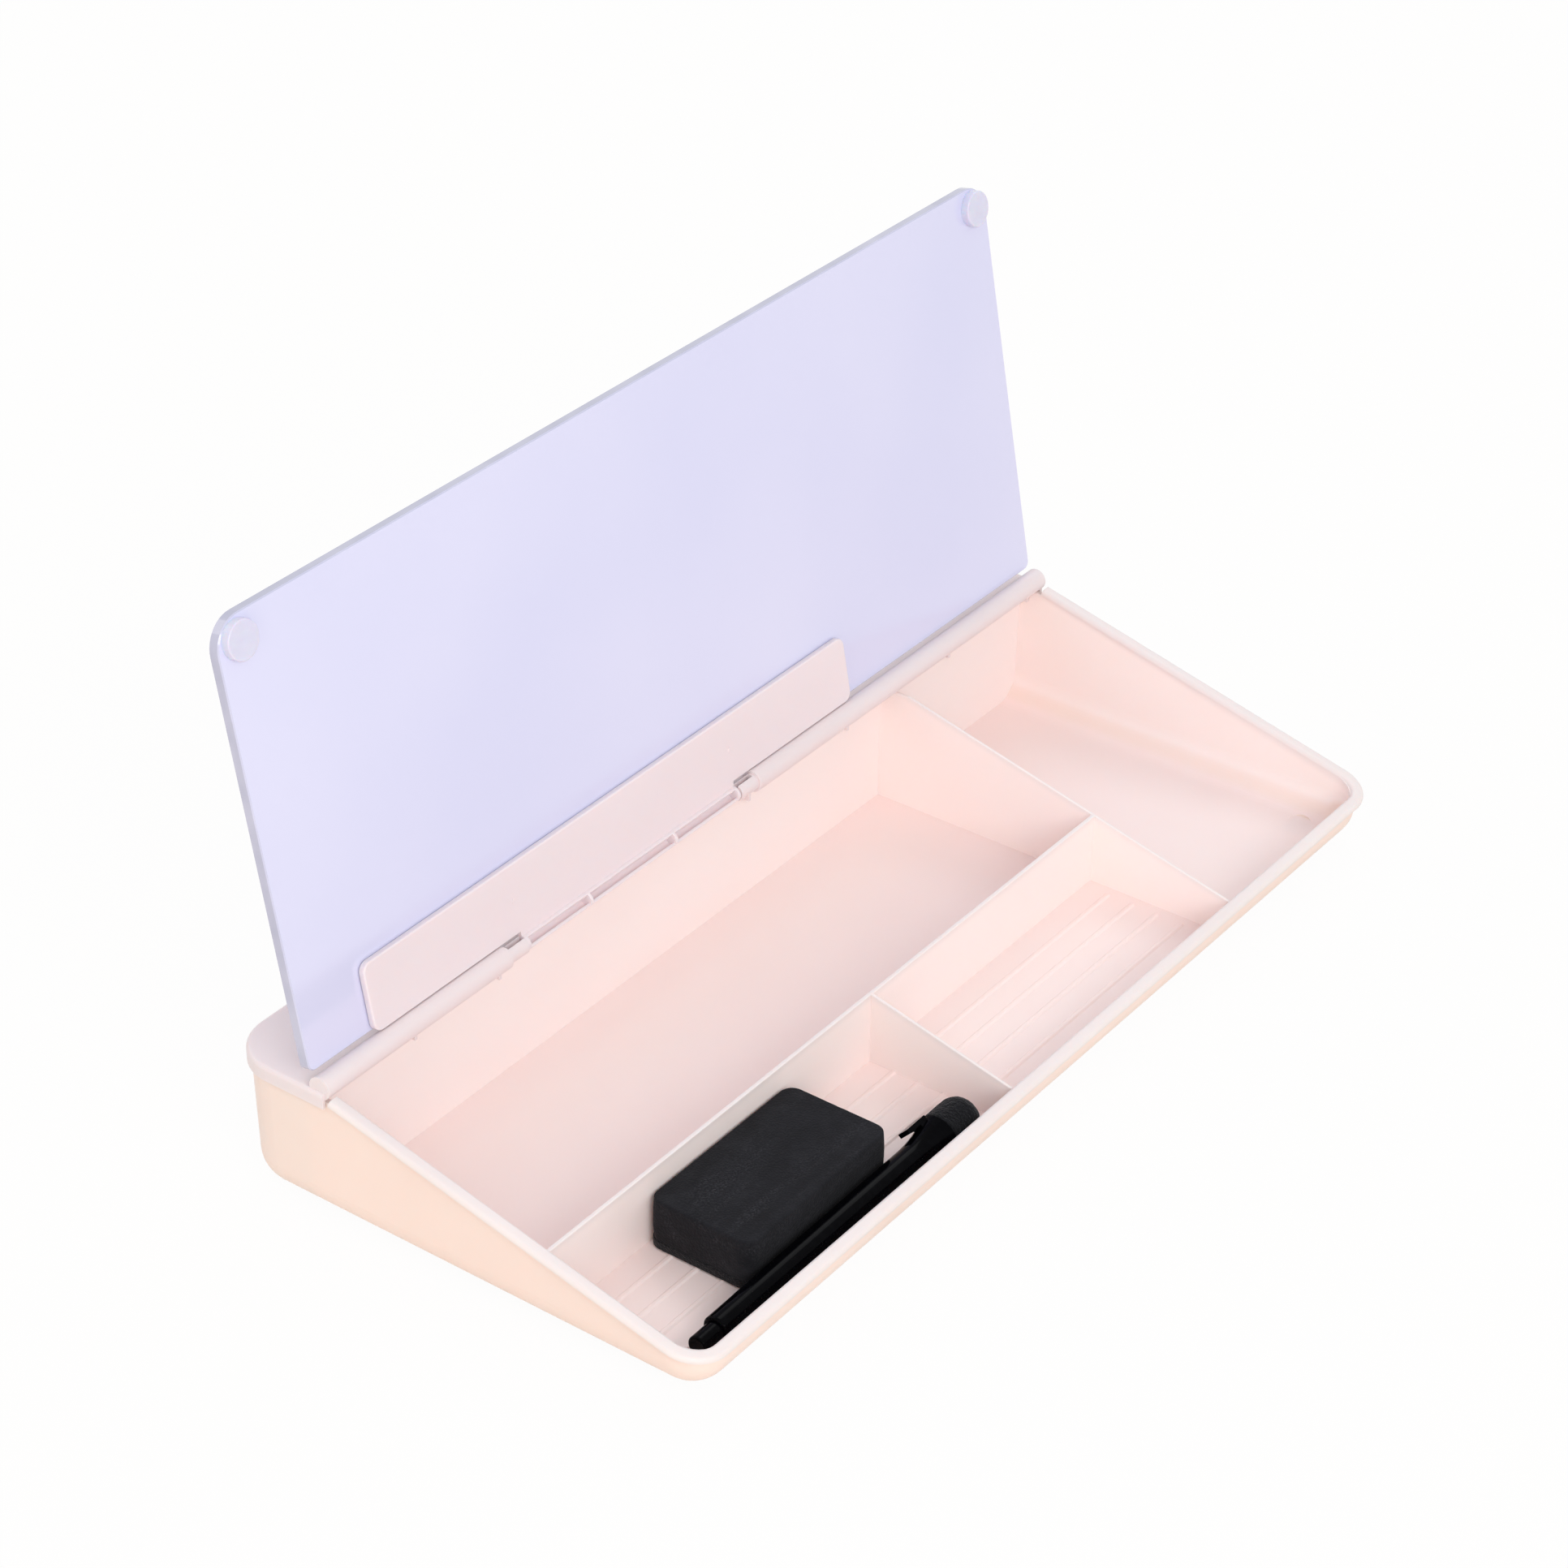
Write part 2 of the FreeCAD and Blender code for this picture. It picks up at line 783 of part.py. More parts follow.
seat_recesses = round_posts("seat_recesses", foot_places.values(), foot_radius + s.foot_clearance,
                            base_z - s.overrun, s.overrun + s.foot_recess)
mark_place = (half_cover - s.mark_side_inset, front + s.mark_front_inset)
floor_mark = round_posts("floor_mark", [mark_place], s.mark_diameter / 2, floor_z - s.mark_depth,
                         s.mark_depth + s.overrun)
whole_tray = fuse("whole_tray", [hollow_shell, rim, clipped_walls])
tray_marks = fuse("tray_marks", [seat_recesses, floor_mark])
tray = cut("tray_cut", whole_tray, tray_marks)
finish(tray, "tray")

# Feet
for label, (x, y) in foot_places.items():
    foot = new_body(label + "_body")
    foot_sketch = sketch_on(foot, label + "_outline", "XY_Plane")
    circle(foot_sketch, (ZERO, ZERO), foot_radius)
    foot_pad = pad(foot, label + "_pad", foot_sketch, base_z + s.foot_recess)
    foot_edge = edge_names(foot_pad, lambda edge: at_level(edge, ZERO))
    rounded(foot, label + "_round", foot_pad, foot_edge, s.foot_round)
    place(foot, (x, y, ZERO))
    finish(foot, label)

# Rear cover: shelf with rounded corners and a skirt around three sides
cover_front = axis_y - s.skirt_before_axis
cover_block = new_body("cover_block")
cover_sketch = sketch_on(cover_block, "cover_outline", "XY_Plane", (ZERO, ZERO, skirt_bottom))
rectangle(cover_sketch, -half_cover, half_cover, cover_front, rear)
cover_step = pad(cover_block, "cover_pad", cover_sketch, s.skirt_depth)
cover_edges = edge_names(cover_step, lambda edge: is_upright(edge, half_cover, rear)
                         or is_upright(edge, -half_cover, rear))
cover_step = rounded(cover_block, "cover_corners", cover_step, cover_edges, s.rear_corner)
cover_edges = edge_names(cover_step, lambda edge: at_level(edge, s.shelf_height)
                         and edge.BoundBox.YMax > (cover_front + s.match).value)
cover_step = rounded(cover_block, "cover_round", cover_step, cover_edges, s.cover_round)

groove_y = rear - s.groove_from_rear
half_groove = s.groove_width / 2
groove_sketch = sketch_on(cover_block, "groove_outline", "XY_Plane", (ZERO, ZERO, s.shelf_height - s.groove_depth))
groove_half_length = half_cover - s.groove_end_border
rectangle(groove_sketch, -groove_half_length, groove_half_length, groove_y - half_groove, groove_y + half_groove)
groove_step = pocket(cover_block, "groove_pocket", groove_sketch, s.groove_depth + s.overrun)
groove_corners = edge_names(groove_step, lambda edge: is_upright(edge, groove_half_length, groove_y + half_groove)
                            or is_upright(edge, groove_half_length, groove_y - half_groove)
                            or is_upright(edge, -groove_half_length, groove_y + half_groove)
                            or is_upright(edge, -groove_half_length, groove_y - half_groove))
groove_step = rounded(cover_block, "groove_ends", groove_step, groove_corners, half_groove - s.match)
groove_base = edge_names(groove_step, lambda edge: at_level(edge, s.shelf_height - s.groove_depth))
rounded(cover_block, "groove_round", groove_step, groove_base, s.groove_round)

inner_half = half_cover - s.skirt_thickness
inner_rear = rear - s.skirt_thickness
cover_hollow = new_body("cover_hollow")
hollow_sketch = sketch_on(cover_hollow, "hollow_outline", "XY_Plane", (ZERO, ZERO, skirt_bottom - s.overrun))
rectangle(hollow_sketch, -inner_half, inner_half, cover_front - s.overrun, inner_rear)
hollow_step = pad(cover_hollow, "hollow_pad", hollow_sketch, shelf_under - skirt_bottom + s.overrun)
hollow_edges = edge_names(hollow_step, lambda edge: is_upright(edge, inner_half, inner_rear)
                          or is_upright(edge, -inner_half, inner_rear))
rounded(cover_hollow, "hollow_corners", hollow_step, hollow_edges, s.rear_corner - s.skirt_thickness)
nose_room = block("nose_room", (-inner_half, cover_front - s.overrun, skirt_bottom - s.overrun),
                  (inner_half, axis_y, s.shelf_height + s.overrun))
cover_rooms = fuse("cover_rooms", [cover_hollow, nose_room])
cover_shell = cut("cover_shell", cover_block, cover_rooms)

# Rear cover: hollow nose along the front of the shelf, open for the hinge
half_nose = inner_half + s.nose_bite
nose_outer = rod("nose_outer", (-half_nose, axis_y, axis_z), s.nose_radius, half_nose * 2)
nose_inner = rod("nose_inner", (-half_nose - s.overrun, axis_y, axis_z), s.nose_radius - s.nose_wall,
                 half_nose * 2 + s.overrun * 2)
nose_open = block("nose_open", (-half_nose - s.overrun, axis_y, axis_z - s.nose_radius - s.overrun),
                  (half_nose + s.overrun, axis_y + s.nose_radius + s.overrun, shelf_under))
nose_void = fuse("nose_void", [nose_inner, nose_open])
shelf_front = block("shelf_front", (-half_nose, axis_y, shelf_under),
                    (half_nose, axis_y + s.nose_radius + s.nose_wall, s.shelf_height))
nose_ring = cut("nose_ring", nose_outer, nose_void)
half_barrel = s.barrel_length / 2
half_gap = half_barrel + s.collar_gap + s.collar_length
gap_left = -s.hinge_offset - half_gap
gap_right = half_gap - s.hinge_offset
nose_front = axis_y - s.nose_radius - s.overrun
nose_top = axis_z + s.nose_radius + s.overrun
nose_low = axis_z - s.nose_radius - s.overrun
stop_edge = axis_y + s.stop_edge_behind_axis
gap_points = (
    (nose_front, nose_low),
    (stop_edge, nose_low),
    (stop_edge, s.shelf_height),
    (axis_y + s.nose_radius + s.overrun, s.shelf_height),
    (axis_y + s.nose_radius + s.overrun, nose_top),
    (nose_front, nose_top),
)
hinge_gap = side_profile("hinge_gap", gap_points, gap_left, half_gap * 2)
nosed_cover = fuse("nosed_cover", [cover_shell, nose_ring, shelf_front])
gapped_cover = cut("gapped_cover", nosed_cover, hinge_gap)

# Rear cover: ribs that fill the nose, with tabs that reach down behind it
rib_places = [half_nose * share - s.rib_thickness / 2 for share in RIB_SHARES]
gap_ends = [gap_left - s.rib_thickness, gap_right]
nose_ends = [-half_nose, half_nose - s.rib_thickness]
end_tab = half_core - s.rib_wall_gap
end_tabs = [-end_tab, end_tab - s.rib_thickness]
rib_rear = back_wall_front - s.rib_wall_gap
tab_low = s.shelf_height - s.rib_drop
rib_pieces = []
for number, rib_x in enumerate(rib_places + gap_ends + nose_ends):
    disc_radius = s.nose_radius
    if number < len(rib_places):
        disc_radius = s.nose_radius - s.rib_inset
    rib_pieces.append(rod("rib_disc_%d" % number, (rib_x, axis_y, axis_z), disc_radius, s.rib_thickness))
for number, tab_x in enumerate(rib_places + gap_ends + end_tabs):
    rib_pieces.append(block("rib_tab_%d" % number, (tab_x, axis_y + s.rib_behind_axis, tab_low),
                            (tab_x + s.rib_thickness, rib_rear, shelf_under + s.rib_inset)))

# Rear cover: two bearing collars with snap slots
collar_parts = []
bore_parts = []
bore_radius = s.pin_radius + s.pin_clearance
bore_depth = s.pin_length + s.pin_end_gap - s.collar_gap
for side, collar_x, bore_x in (
    ("left", gap_left, gap_left + s.collar_length - bore_depth),
    ("right", gap_right - s.collar_length, gap_right - s.collar_length),
):
    collar_start = (collar_x, axis_y, axis_z)
    collar_parts.append(rod("collar_" + side, collar_start, s.collar_radius, s.collar_length))
    web_points = (
        (axis_y, axis_z - s.collar_radius),
        (stop_edge + s.collar_web, shelf_under),
        (stop_edge + s.collar_web, s.shelf_height),
        (axis_y + s.barrel_radius - s.barrel_wall, axis_z - s.collar_web),
        (axis_y, axis_z - s.collar_web),
    )
    collar_parts.append(side_profile("collar_web_" + side, web_points, collar_x, s.collar_length))
    bore_parts.append(rod("bore_" + side, (bore_x, axis_y, axis_z), bore_radius, bore_depth))
    bore_parts.append(block("slot_" + side, (bore_x, axis_y - s.snap_slot / 2, axis_z),
                            (bore_x + bore_depth, axis_y + s.snap_slot / 2, axis_z + s.collar_radius + s.overrun)))
ribbed_cover = fuse("ribbed_cover", [gapped_cover] + rib_pieces + collar_parts)
bores = fuse("bores", bore_parts)
rear_cover = cut("rear_cover_cut", ribbed_cover, bores)
finish(rear_cover, "rear_cover")

# Lid frame: the hinge axis, with the board along local y and its underside toward local z
lid_place = (ZERO, axis_y, axis_z)

# Glass board
glass = new_body("glass")
glass_back = -s.board_offset - s.board_thickness
glass_sketch = sketch_on(glass, "glass_outline", "XY_Plane", (ZERO, ZERO, glass_back))
half_board = half_cover - s.board_side_inset
board_end = s.board_lift + s.board_depth
rectangle(glass_sketch, -half_board, half_board, s.board_lift, board_end)
glass_step = pad(glass, "glass_pad", glass_sketch, s.board_thickness)
for name, edge_y, radius in (("hinge", s.board_lift, s.board_hinge_corner), ("free", board_end, s.board_free_corner)):
    glass_edges = edge_names(glass_step, lambda edge: is_upright(edge, half_board, edge_y)
                             or is_upright(edge, -half_board, edge_y))
    glass_step = rounded(glass, "glass_%s_corners" % name, glass_step, glass_edges, radius)
glass_edges = edge_names(glass_step, lambda edge: at_level(edge, glass_back) or at_level(edge, -s.board_offset))
bevelled(glass, "glass_arris", glass_step, glass_edges, s.board_arris)
place(glass, lid_place, s.lid_angle)
finish(glass, "glass_board")

# Bumpers under the free corners of the board
for side, bumper_x in (("left", s.bumper_side_inset - half_board), ("right", half_board - s.bumper_side_inset)):
    bumper = new_body("bumper_" + side + "_body")
    bumper_sketch = sketch_on(bumper, "bumper_%s_outline" % side, "XY_Plane", (ZERO, ZERO, -s.board_offset))
    circle(bumper_sketch, (bumper_x, board_end - s.bumper_free_inset), s.bumper_diameter / 2)
    bumper_pad = pad(bumper, "bumper_%s_pad" % side, bumper_sketch, s.bumper_thickness)
    bumper_face = s.bumper_thickness - s.board_offset
    bumper_edge = edge_names(bumper_pad, lambda edge: at_level(edge, bumper_face))
    rounded(bumper, "bumper_%s_round" % side, bumper_pad, bumper_edge, s.bumper_round)
    place(bumper, lid_place, s.lid_angle)
    finish(bumper, "bumper_" + side)

# Hinge plate with its open barrel, webs, pins and stop, and the tape behind it
hinge = new_body("hinge")
plate_back = s.tape_thickness - s.board_offset
plate_face = plate_back + s.plate_thickness
plate_low = s.nose_radius + s.plate_nose_gap
plate_high = plate_low + s.plate_depth
plate_left = s.plate_from_left - half_board
plate_right = half_board - s.plate_from_right
plate_sketch = sketch_on(hinge, "plate_outline", "XY_Plane", (ZERO, ZERO, plate_back))
rectangle(plate_sketch, plate_left, plate_right, plate_low, plate_high)
hinge_step = pad(hinge, "plate_pad", plate_sketch, s.plate_thickness)
plate_corners = edge_names(hinge_step, lambda edge: is_upright(edge, plate_left, plate_low)
                           or is_upright(edge, plate_left, plate_high)
                           or is_upright(edge, plate_right, plate_low)
                           or is_upright(edge, plate_right, plate_high))
hinge_step = rounded(hinge, "plate_corners", hinge_step, plate_corners, s.plate_corner)
plate_edges = edge_names(hinge_step, lambda edge: at_level(edge, plate_face))
hinge_step = rounded(hinge, "plate_round", hinge_step, plate_edges, s.plate_round)
nub_sketch = sketch_on(hinge, "nub_outline", "XY_Plane", (ZERO, ZERO, plate_face - s.nub_height))
for nub_x in (-s.hinge_offset - s.nub_spacing / 2, s.nub_spacing / 2 - s.hinge_offset):
    circle(nub_sketch, (nub_x, s.board_lift + s.nub_from_edge), s.nub_diameter / 2)
pad(hinge, "nub_pad", nub_sketch, s.nub_height * 2)

barrel_left = -s.hinge_offset - half_barrel
barrel_right = half_barrel - s.hinge_offset
inner_radius = s.barrel_radius - s.barrel_wall
tongue_low = inner_radius * cosine(s.mouth_from)
root_sketch = sketch_on(hinge, "root_outline", "YZ_Plane", (ZERO, ZERO, barrel_left))
rectangle(root_sketch, tongue_low, plate_low + s.plate_corner, plate_back, plate_face)
pad(hinge, "root_pad", root_sketch, s.barrel_length)
barrel_sketch = sketch_on(hinge, "barrel_outline", "YZ_Plane", (ZERO, ZERO, barrel_left))
circle(barrel_sketch, (ZERO, ZERO), s.barrel_radius)
circle(barrel_sketch, (ZERO, ZERO), inner_radius)
pad(hinge, "barrel_pad", barrel_sketch, s.barrel_length)
mouth_reach = s.barrel_radius * 2
mouth_middle = (s.mouth_from + s.mouth_to) / 2
mouth_points = (
    (ZERO, ZERO),
    (mouth_reach * cosine(s.mouth_from), mouth_reach * sine(s.mouth_from)),
    (mouth_reach * cosine(mouth_middle), mouth_reach * sine(mouth_middle)),
    (mouth_reach * cosine(s.mouth_to), mouth_reach * sine(s.mouth_to)),
)
mouth_sketch = sketch_on(hinge, "mouth_outline", "YZ_Plane", (ZERO, ZERO, barrel_left))
polygon(mouth_sketch, mouth_points)
pocket(hinge, "mouth_pocket", mouth_sketch, s.barrel_length)
web_middle = -s.hinge_offset - s.web_shift - s.web_thickness / 2
web_places = (
    ("end_left", barrel_left, s.barrel_end),
    ("end_right", barrel_right - s.barrel_end, s.barrel_end),
    ("web_left", web_middle - s.web_spacing / 2, s.web_thickness),
    ("web_right", web_middle + s.web_spacing / 2, s.web_thickness),
)
for name, web_x, thickness in web_places:
    web_sketch = sketch_on(hinge, name + "_outline", "YZ_Plane", (ZERO, ZERO, web_x))
    circle(web_sketch, (ZERO, ZERO), s.barrel_radius)
    pad(hinge, name + "_pad", web_sketch, thickness)
for name, pin_x in (("pin_left", barrel_left - s.pin_length), ("pin_right", barrel_right - s.barrel_end)):
    pin_sketch = sketch_on(hinge, name + "_outline", "YZ_Plane", (ZERO, ZERO, pin_x))
    circle(pin_sketch, (ZERO, ZERO), s.pin_radius)
    pad(hinge, name + "_pad", pin_sketch, s.pin_length + s.barrel_end)
stop_low = s.shelf_height + s.stop_gap - axis_z
stop_corners = (
    (tongue_low, stop_low),
    (s.stop_reach, stop_low),
    (s.stop_reach, stop_low + s.stop_thickness),
    (tongue_low, stop_low + s.stop_thickness),
)
stop_points = []
for along, up in stop_corners:
    local_y = along * cosine(s.lid_angle) + up * sine(s.lid_angle)
    local_z = up * cosine(s.lid_angle) - along * sine(s.lid_angle)
    stop_points.append((local_y, local_z))
stop_sketch = sketch_on(hinge, "stop_outline", "YZ_Plane", (ZERO, ZERO, -s.hinge_offset - s.stop_length / 2))
polygon(stop_sketch, stop_points)
pad(hinge, "stop_pad", stop_sketch, s.stop_length)
place(hinge, lid_place, s.lid_angle)
finish(hinge, "hinge_plate")

tape = new_body("tape")
tape_sketch = sketch_on(tape, "tape_outline", "XY_Plane", (ZERO, ZERO, -s.board_offset))
rectangle(tape_sketch, plate_left + s.tape_border, plate_right - s.tape_border,
          plate_low + s.tape_border, plate_high - s.tape_border)
pad(tape, "tape_pad", tape_sketch, s.tape_thickness)
place(tape, lid_place, s.lid_angle)
finish(tape, "hinge_tape")

# Marker: every piece is turned about the marker's own axis, with the tail end at zero
marker_base = (s.marker_from_left - half_cover, front + s.marker_from_front, floor_z + s.marker_lift)
lean_axis = FreeCAD.Vector(0, -s.marker_pitch.value, s.marker_yaw.value)
marker_turn = FreeCAD.Rotation(lean_axis, math.hypot(s.marker_pitch.value, s.marker_yaw.value))


def lay_marker(body, label, roll=None):
    turn = marker_turn
    if roll is not None:
        turn = marker_turn.multiply(FreeCAD.Rotation(X_AXIS, roll.value))
    body.Placement = FreeCAD.Placement(vector(*marker_base), turn)
    bind_base(body, ".Placement", marker_base)
    finish(body, label)


shoulder = s.tail_length
seam = shoulder + s.barrel_span
felt_base = seam + s.cap_span
marker_end = felt_base + s.felt_span
stem_radius = s.marker_bore - s.marker_fit

barrel = new_body("barrel")
barrel_points = (
    (shoulder, s.tail_hole + s.marker_fit),
    (shoulder, s.marker_radius),
    (seam, s.marker_radius),
    (seam, s.spigot_radius),
    (seam + s.spigot_length, s.spigot_radius),
    (seam + s.spigot_length, s.spigot_bore),
    (seam, s.spigot_bore),
    (seam, s.marker_bore),
    (shoulder + s.marker_end_wall, s.marker_bore),
    (shoulder + s.marker_end_wall, s.tail_hole + s.marker_fit),
)
barrel_turn = turned(barrel, "barrel_turn", barrel_points)
barrel_edge = edge_names(barrel_turn, lambda edge: is_ring(edge, shoulder)
                         and near(edge.BoundBox.ZMax, s.marker_radius))
rounded(barrel, "barrel_shoulder", barrel_turn, barrel_edge, s.marker_shoulder)
lay_marker(barrel, "marker_barrel")

tail = new_body("tail")
tail_points = (
    (ZERO, ZERO),
    (ZERO, s.tail_radius),
    (shoulder, s.tail_radius),
    (shoulder, s.tail_hole),
    (shoulder + s.tail_stem, s.tail_hole),
    (shoulder + s.tail_stem, ZERO),
)
tail_turn = turned(tail, "tail_turn", tail_points)
rounded(tail, "tail_round", tail_turn, edge_names(tail_turn, lambda edge: is_ring(edge, ZERO)), s.tail_round)
lay_marker(tail, "marker_tail")

nose = new_body("nose")
nose_bore = s.nib_radius + s.marker_fit
nose_stem_radius = s.spigot_bore - s.marker_fit
nose_start = seam + s.spigot_length - s.nose_stem
nose_base = seam + s.spigot_length
nose_tip = nose_base + s.nose_span
nose_points = (
    (nose_start, nose_bore),
    (nose_start, nose_stem_radius),
    (nose_base, nose_stem_radius),
    (nose_base, s.nose_root_radius),
    (nose_tip - s.nose_cone, s.nose_root_radius),
    (nose_tip, s.nose_tip_radius),
    (nose_tip, nose_bore),
)
turned(nose, "nose_turn", nose_points)
lay_marker(nose, "marker_nose")

nib = new_body("nib")
nib_end = nose_tip + s.nib_reach
nib_points = (
    (nose_start - s.nib_tail, ZERO),
    (nose_start - s.nib_tail, s.nib_radius),
    (nib_end, s.nib_radius),
    (nib_end, ZERO),
)
nib_turn = turned(nib, "nib_turn", nib_points)
rounded(nib, "nib_round", nib_turn, edge_names(nib_turn, lambda edge: is_ring(edge, nib_end)), s.nib_round)
lay_marker(nib, "marker_nib")

filler = new_body("filler")
filler_start = shoulder + s.tail_stem + s.filler_gap
filler_end = seam - s.filler_gap
filler_points = (
    (filler_start, ZERO),
    (filler_start, s.filler_radius),
    (filler_end, s.filler_radius),
    (filler_end, nose_bore),
    (nose_start - s.nib_tail, nose_bore),
    (nose_start - s.nib_tail, ZERO),
)
turned(filler, "filler_turn", filler_points)
lay_marker(filler, "marker_filler")

cap = new_body("cap")
cap_bore = s.spigot_radius + s.marker_fit
cap_floor = nib_end + s.cap_tip_gap
cap_points = (
    (seam, cap_bore),
    (seam, s.marker_radius),
    (seam + s.cap_straight, s.marker_radius),
    (felt_base, s.cap_flare_radius),
    (felt_base, s.cap_spigot_radius),
    (felt_base + s.cap_spigot_length, s.cap_spigot_radius),
    (felt_base + s.cap_spigot_length, ZERO),
    (cap_floor, ZERO),
    (cap_floor, cap_bore),
)
flare_start = seam + s.cap_straight
flare_run = felt_base - flare_start
flare_rise = s.cap_flare_radius - s.marker_radius
flare_curve = (flare_run * flare_run + flare_rise * flare_rise) / (flare_rise * 2)
flare_centre = (flare_start, s.marker_radius + flare_curve)
turned(cap, "cap_turn", cap_points, {2: (flare_centre, flare_curve)})
clip_end = felt_base - s.clip_from_felt
clip_start = clip_end - s.clip_length
clip_low = s.marker_radius + s.clip_gap
clip_high = clip_low + s.clip_thickness
clip_points = (
    (clip_start, clip_low),
    (clip_start + s.clip_tip, clip_low - s.clip_lip),
    (clip_start + s.clip_tip, clip_low),
    (clip_end - s.clip_root, clip_low),
    (clip_end - s.clip_root, s.marker_radius - s.marker_fit),
    (clip_end, s.marker_radius - s.marker_fit),
    (clip_end, clip_high),
    (clip_start, clip_high),
)
clip_sketch = sketch_on(cap, "clip_outline", "XZ_Plane", (ZERO, ZERO, -s.clip_width / 2))
polygon(clip_sketch, clip_points)
pad(cap, "clip_pad", clip_sketch, s.clip_width)
lay_marker(cap, "marker_cap", -s.clip_turn)

felt = new_body("felt")
felt_hole = s.cap_spigot_radius + s.marker_fit
felt_points = (
    (felt_base, felt_hole),
    (felt_base, s.felt_radius),
    (marker_end, s.felt_radius),
    (marker_end, ZERO),
    (felt_base + s.cap_spigot_length + s.marker_fit, ZERO),
    (felt_base + s.cap_spigot_length + s.marker_fit, felt_hole),
)
felt_turn = turned(felt, "felt_turn", felt_points)
rounded(felt, "felt_round", felt_turn, edge_names(felt_turn, lambda edge: is_ring(edge, marker_end)), s.felt_round)
lay_marker(felt, "marker_felt")

# Eraser: foam block with a felt layer under it
eraser_low = floor_z + s.ridge_height + s.rest_gap
eraser_left = s.eraser_from_left - half_cover
eraser_front = front + s.eraser_from_front
eraser_rear = eraser_front + s.eraser_width
for label, bottom, height in (
    ("eraser_pad", eraser_low, s.eraser_felt),
    ("eraser_block", eraser_low + s.eraser_felt, s.eraser_foam),
):
    layer = new_body(label + "_body")
    layer_sketch = sketch_on(layer, label + "_outline", "XY_Plane")
    rectangle(layer_sketch, ZERO, s.eraser_length, ZERO, s.eraser_width)
    layer_step = pad(layer, label + "_pad", layer_sketch, height)
    layer_edges = edge_names(layer_step, lambda edge: edge.BoundBox.ZLength > s.match.value)
    layer_step = rounded(layer, label + "_corners", layer_step, layer_edges, s.eraser_corner)
    if label == "eraser_block":
        layer_edges = edge_names(layer_step, lambda edge: at_level(edge, height))
        layer_step = rounded(layer, label + "_round", layer_step, layer_edges, s.eraser_round)
    place(layer, (eraser_left, eraser_front, bottom))
    finish(layer, label)

# Check the document, then write one file for each node
doc.recompute()
for item in doc.Objects:
    for state in item.State:
        if state in ("Invalid", "Error"):
            raise ValueError("%s is %s" % (item.Label, state))
os.makedirs("parts", exist_ok=True)
for item in nodes:
    if item.Shape.isNull() or not item.Shape.isValid():
        raise ValueError("bad shape for " + item.Label)
    item.Shape.exportStep("parts/%s.step" % item.Label)
    box = item.Shape.BoundBox
    print("%-18s solids %d volume %.1f x %.2f %.2f y %.2f %.2f z %.2f %.2f" % (
        item.Label, len(item.Shape.Solids), item.Shape.Volume,
        box.XMin, box.XMax, box.YMin, box.YMax, box.ZMin, box.ZMax))
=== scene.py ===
import bmesh
import bpy
import math
from mathutils import Matrix, Vector, noise


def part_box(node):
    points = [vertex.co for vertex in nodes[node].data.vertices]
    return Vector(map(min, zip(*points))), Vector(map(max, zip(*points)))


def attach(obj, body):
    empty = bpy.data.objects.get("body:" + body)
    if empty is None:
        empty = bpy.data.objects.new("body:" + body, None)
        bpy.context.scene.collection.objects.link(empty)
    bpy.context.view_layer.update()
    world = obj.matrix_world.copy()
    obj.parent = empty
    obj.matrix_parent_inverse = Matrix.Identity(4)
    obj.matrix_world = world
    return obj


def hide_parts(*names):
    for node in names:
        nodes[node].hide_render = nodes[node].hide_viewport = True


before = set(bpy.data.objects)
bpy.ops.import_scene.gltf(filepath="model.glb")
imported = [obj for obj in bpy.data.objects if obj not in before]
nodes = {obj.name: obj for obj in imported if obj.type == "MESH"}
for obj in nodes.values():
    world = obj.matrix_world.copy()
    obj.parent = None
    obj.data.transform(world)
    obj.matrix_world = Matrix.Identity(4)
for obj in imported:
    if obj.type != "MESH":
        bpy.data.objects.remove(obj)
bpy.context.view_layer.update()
scene = bpy.context.scene
scene.view_settings.view_transform = "Standard"
MM = 0.001


# Colours are given as screen values and turned into linear ones
def colour(red, green, blue):
    linear = []
    for value in (red, green, blue):
        share = value / 255
        linear.append(share / 12.92 if share <= 0.04045 else ((share + 0.055) / 1.055) ** 2.4)
    return (*linear, 1.0)


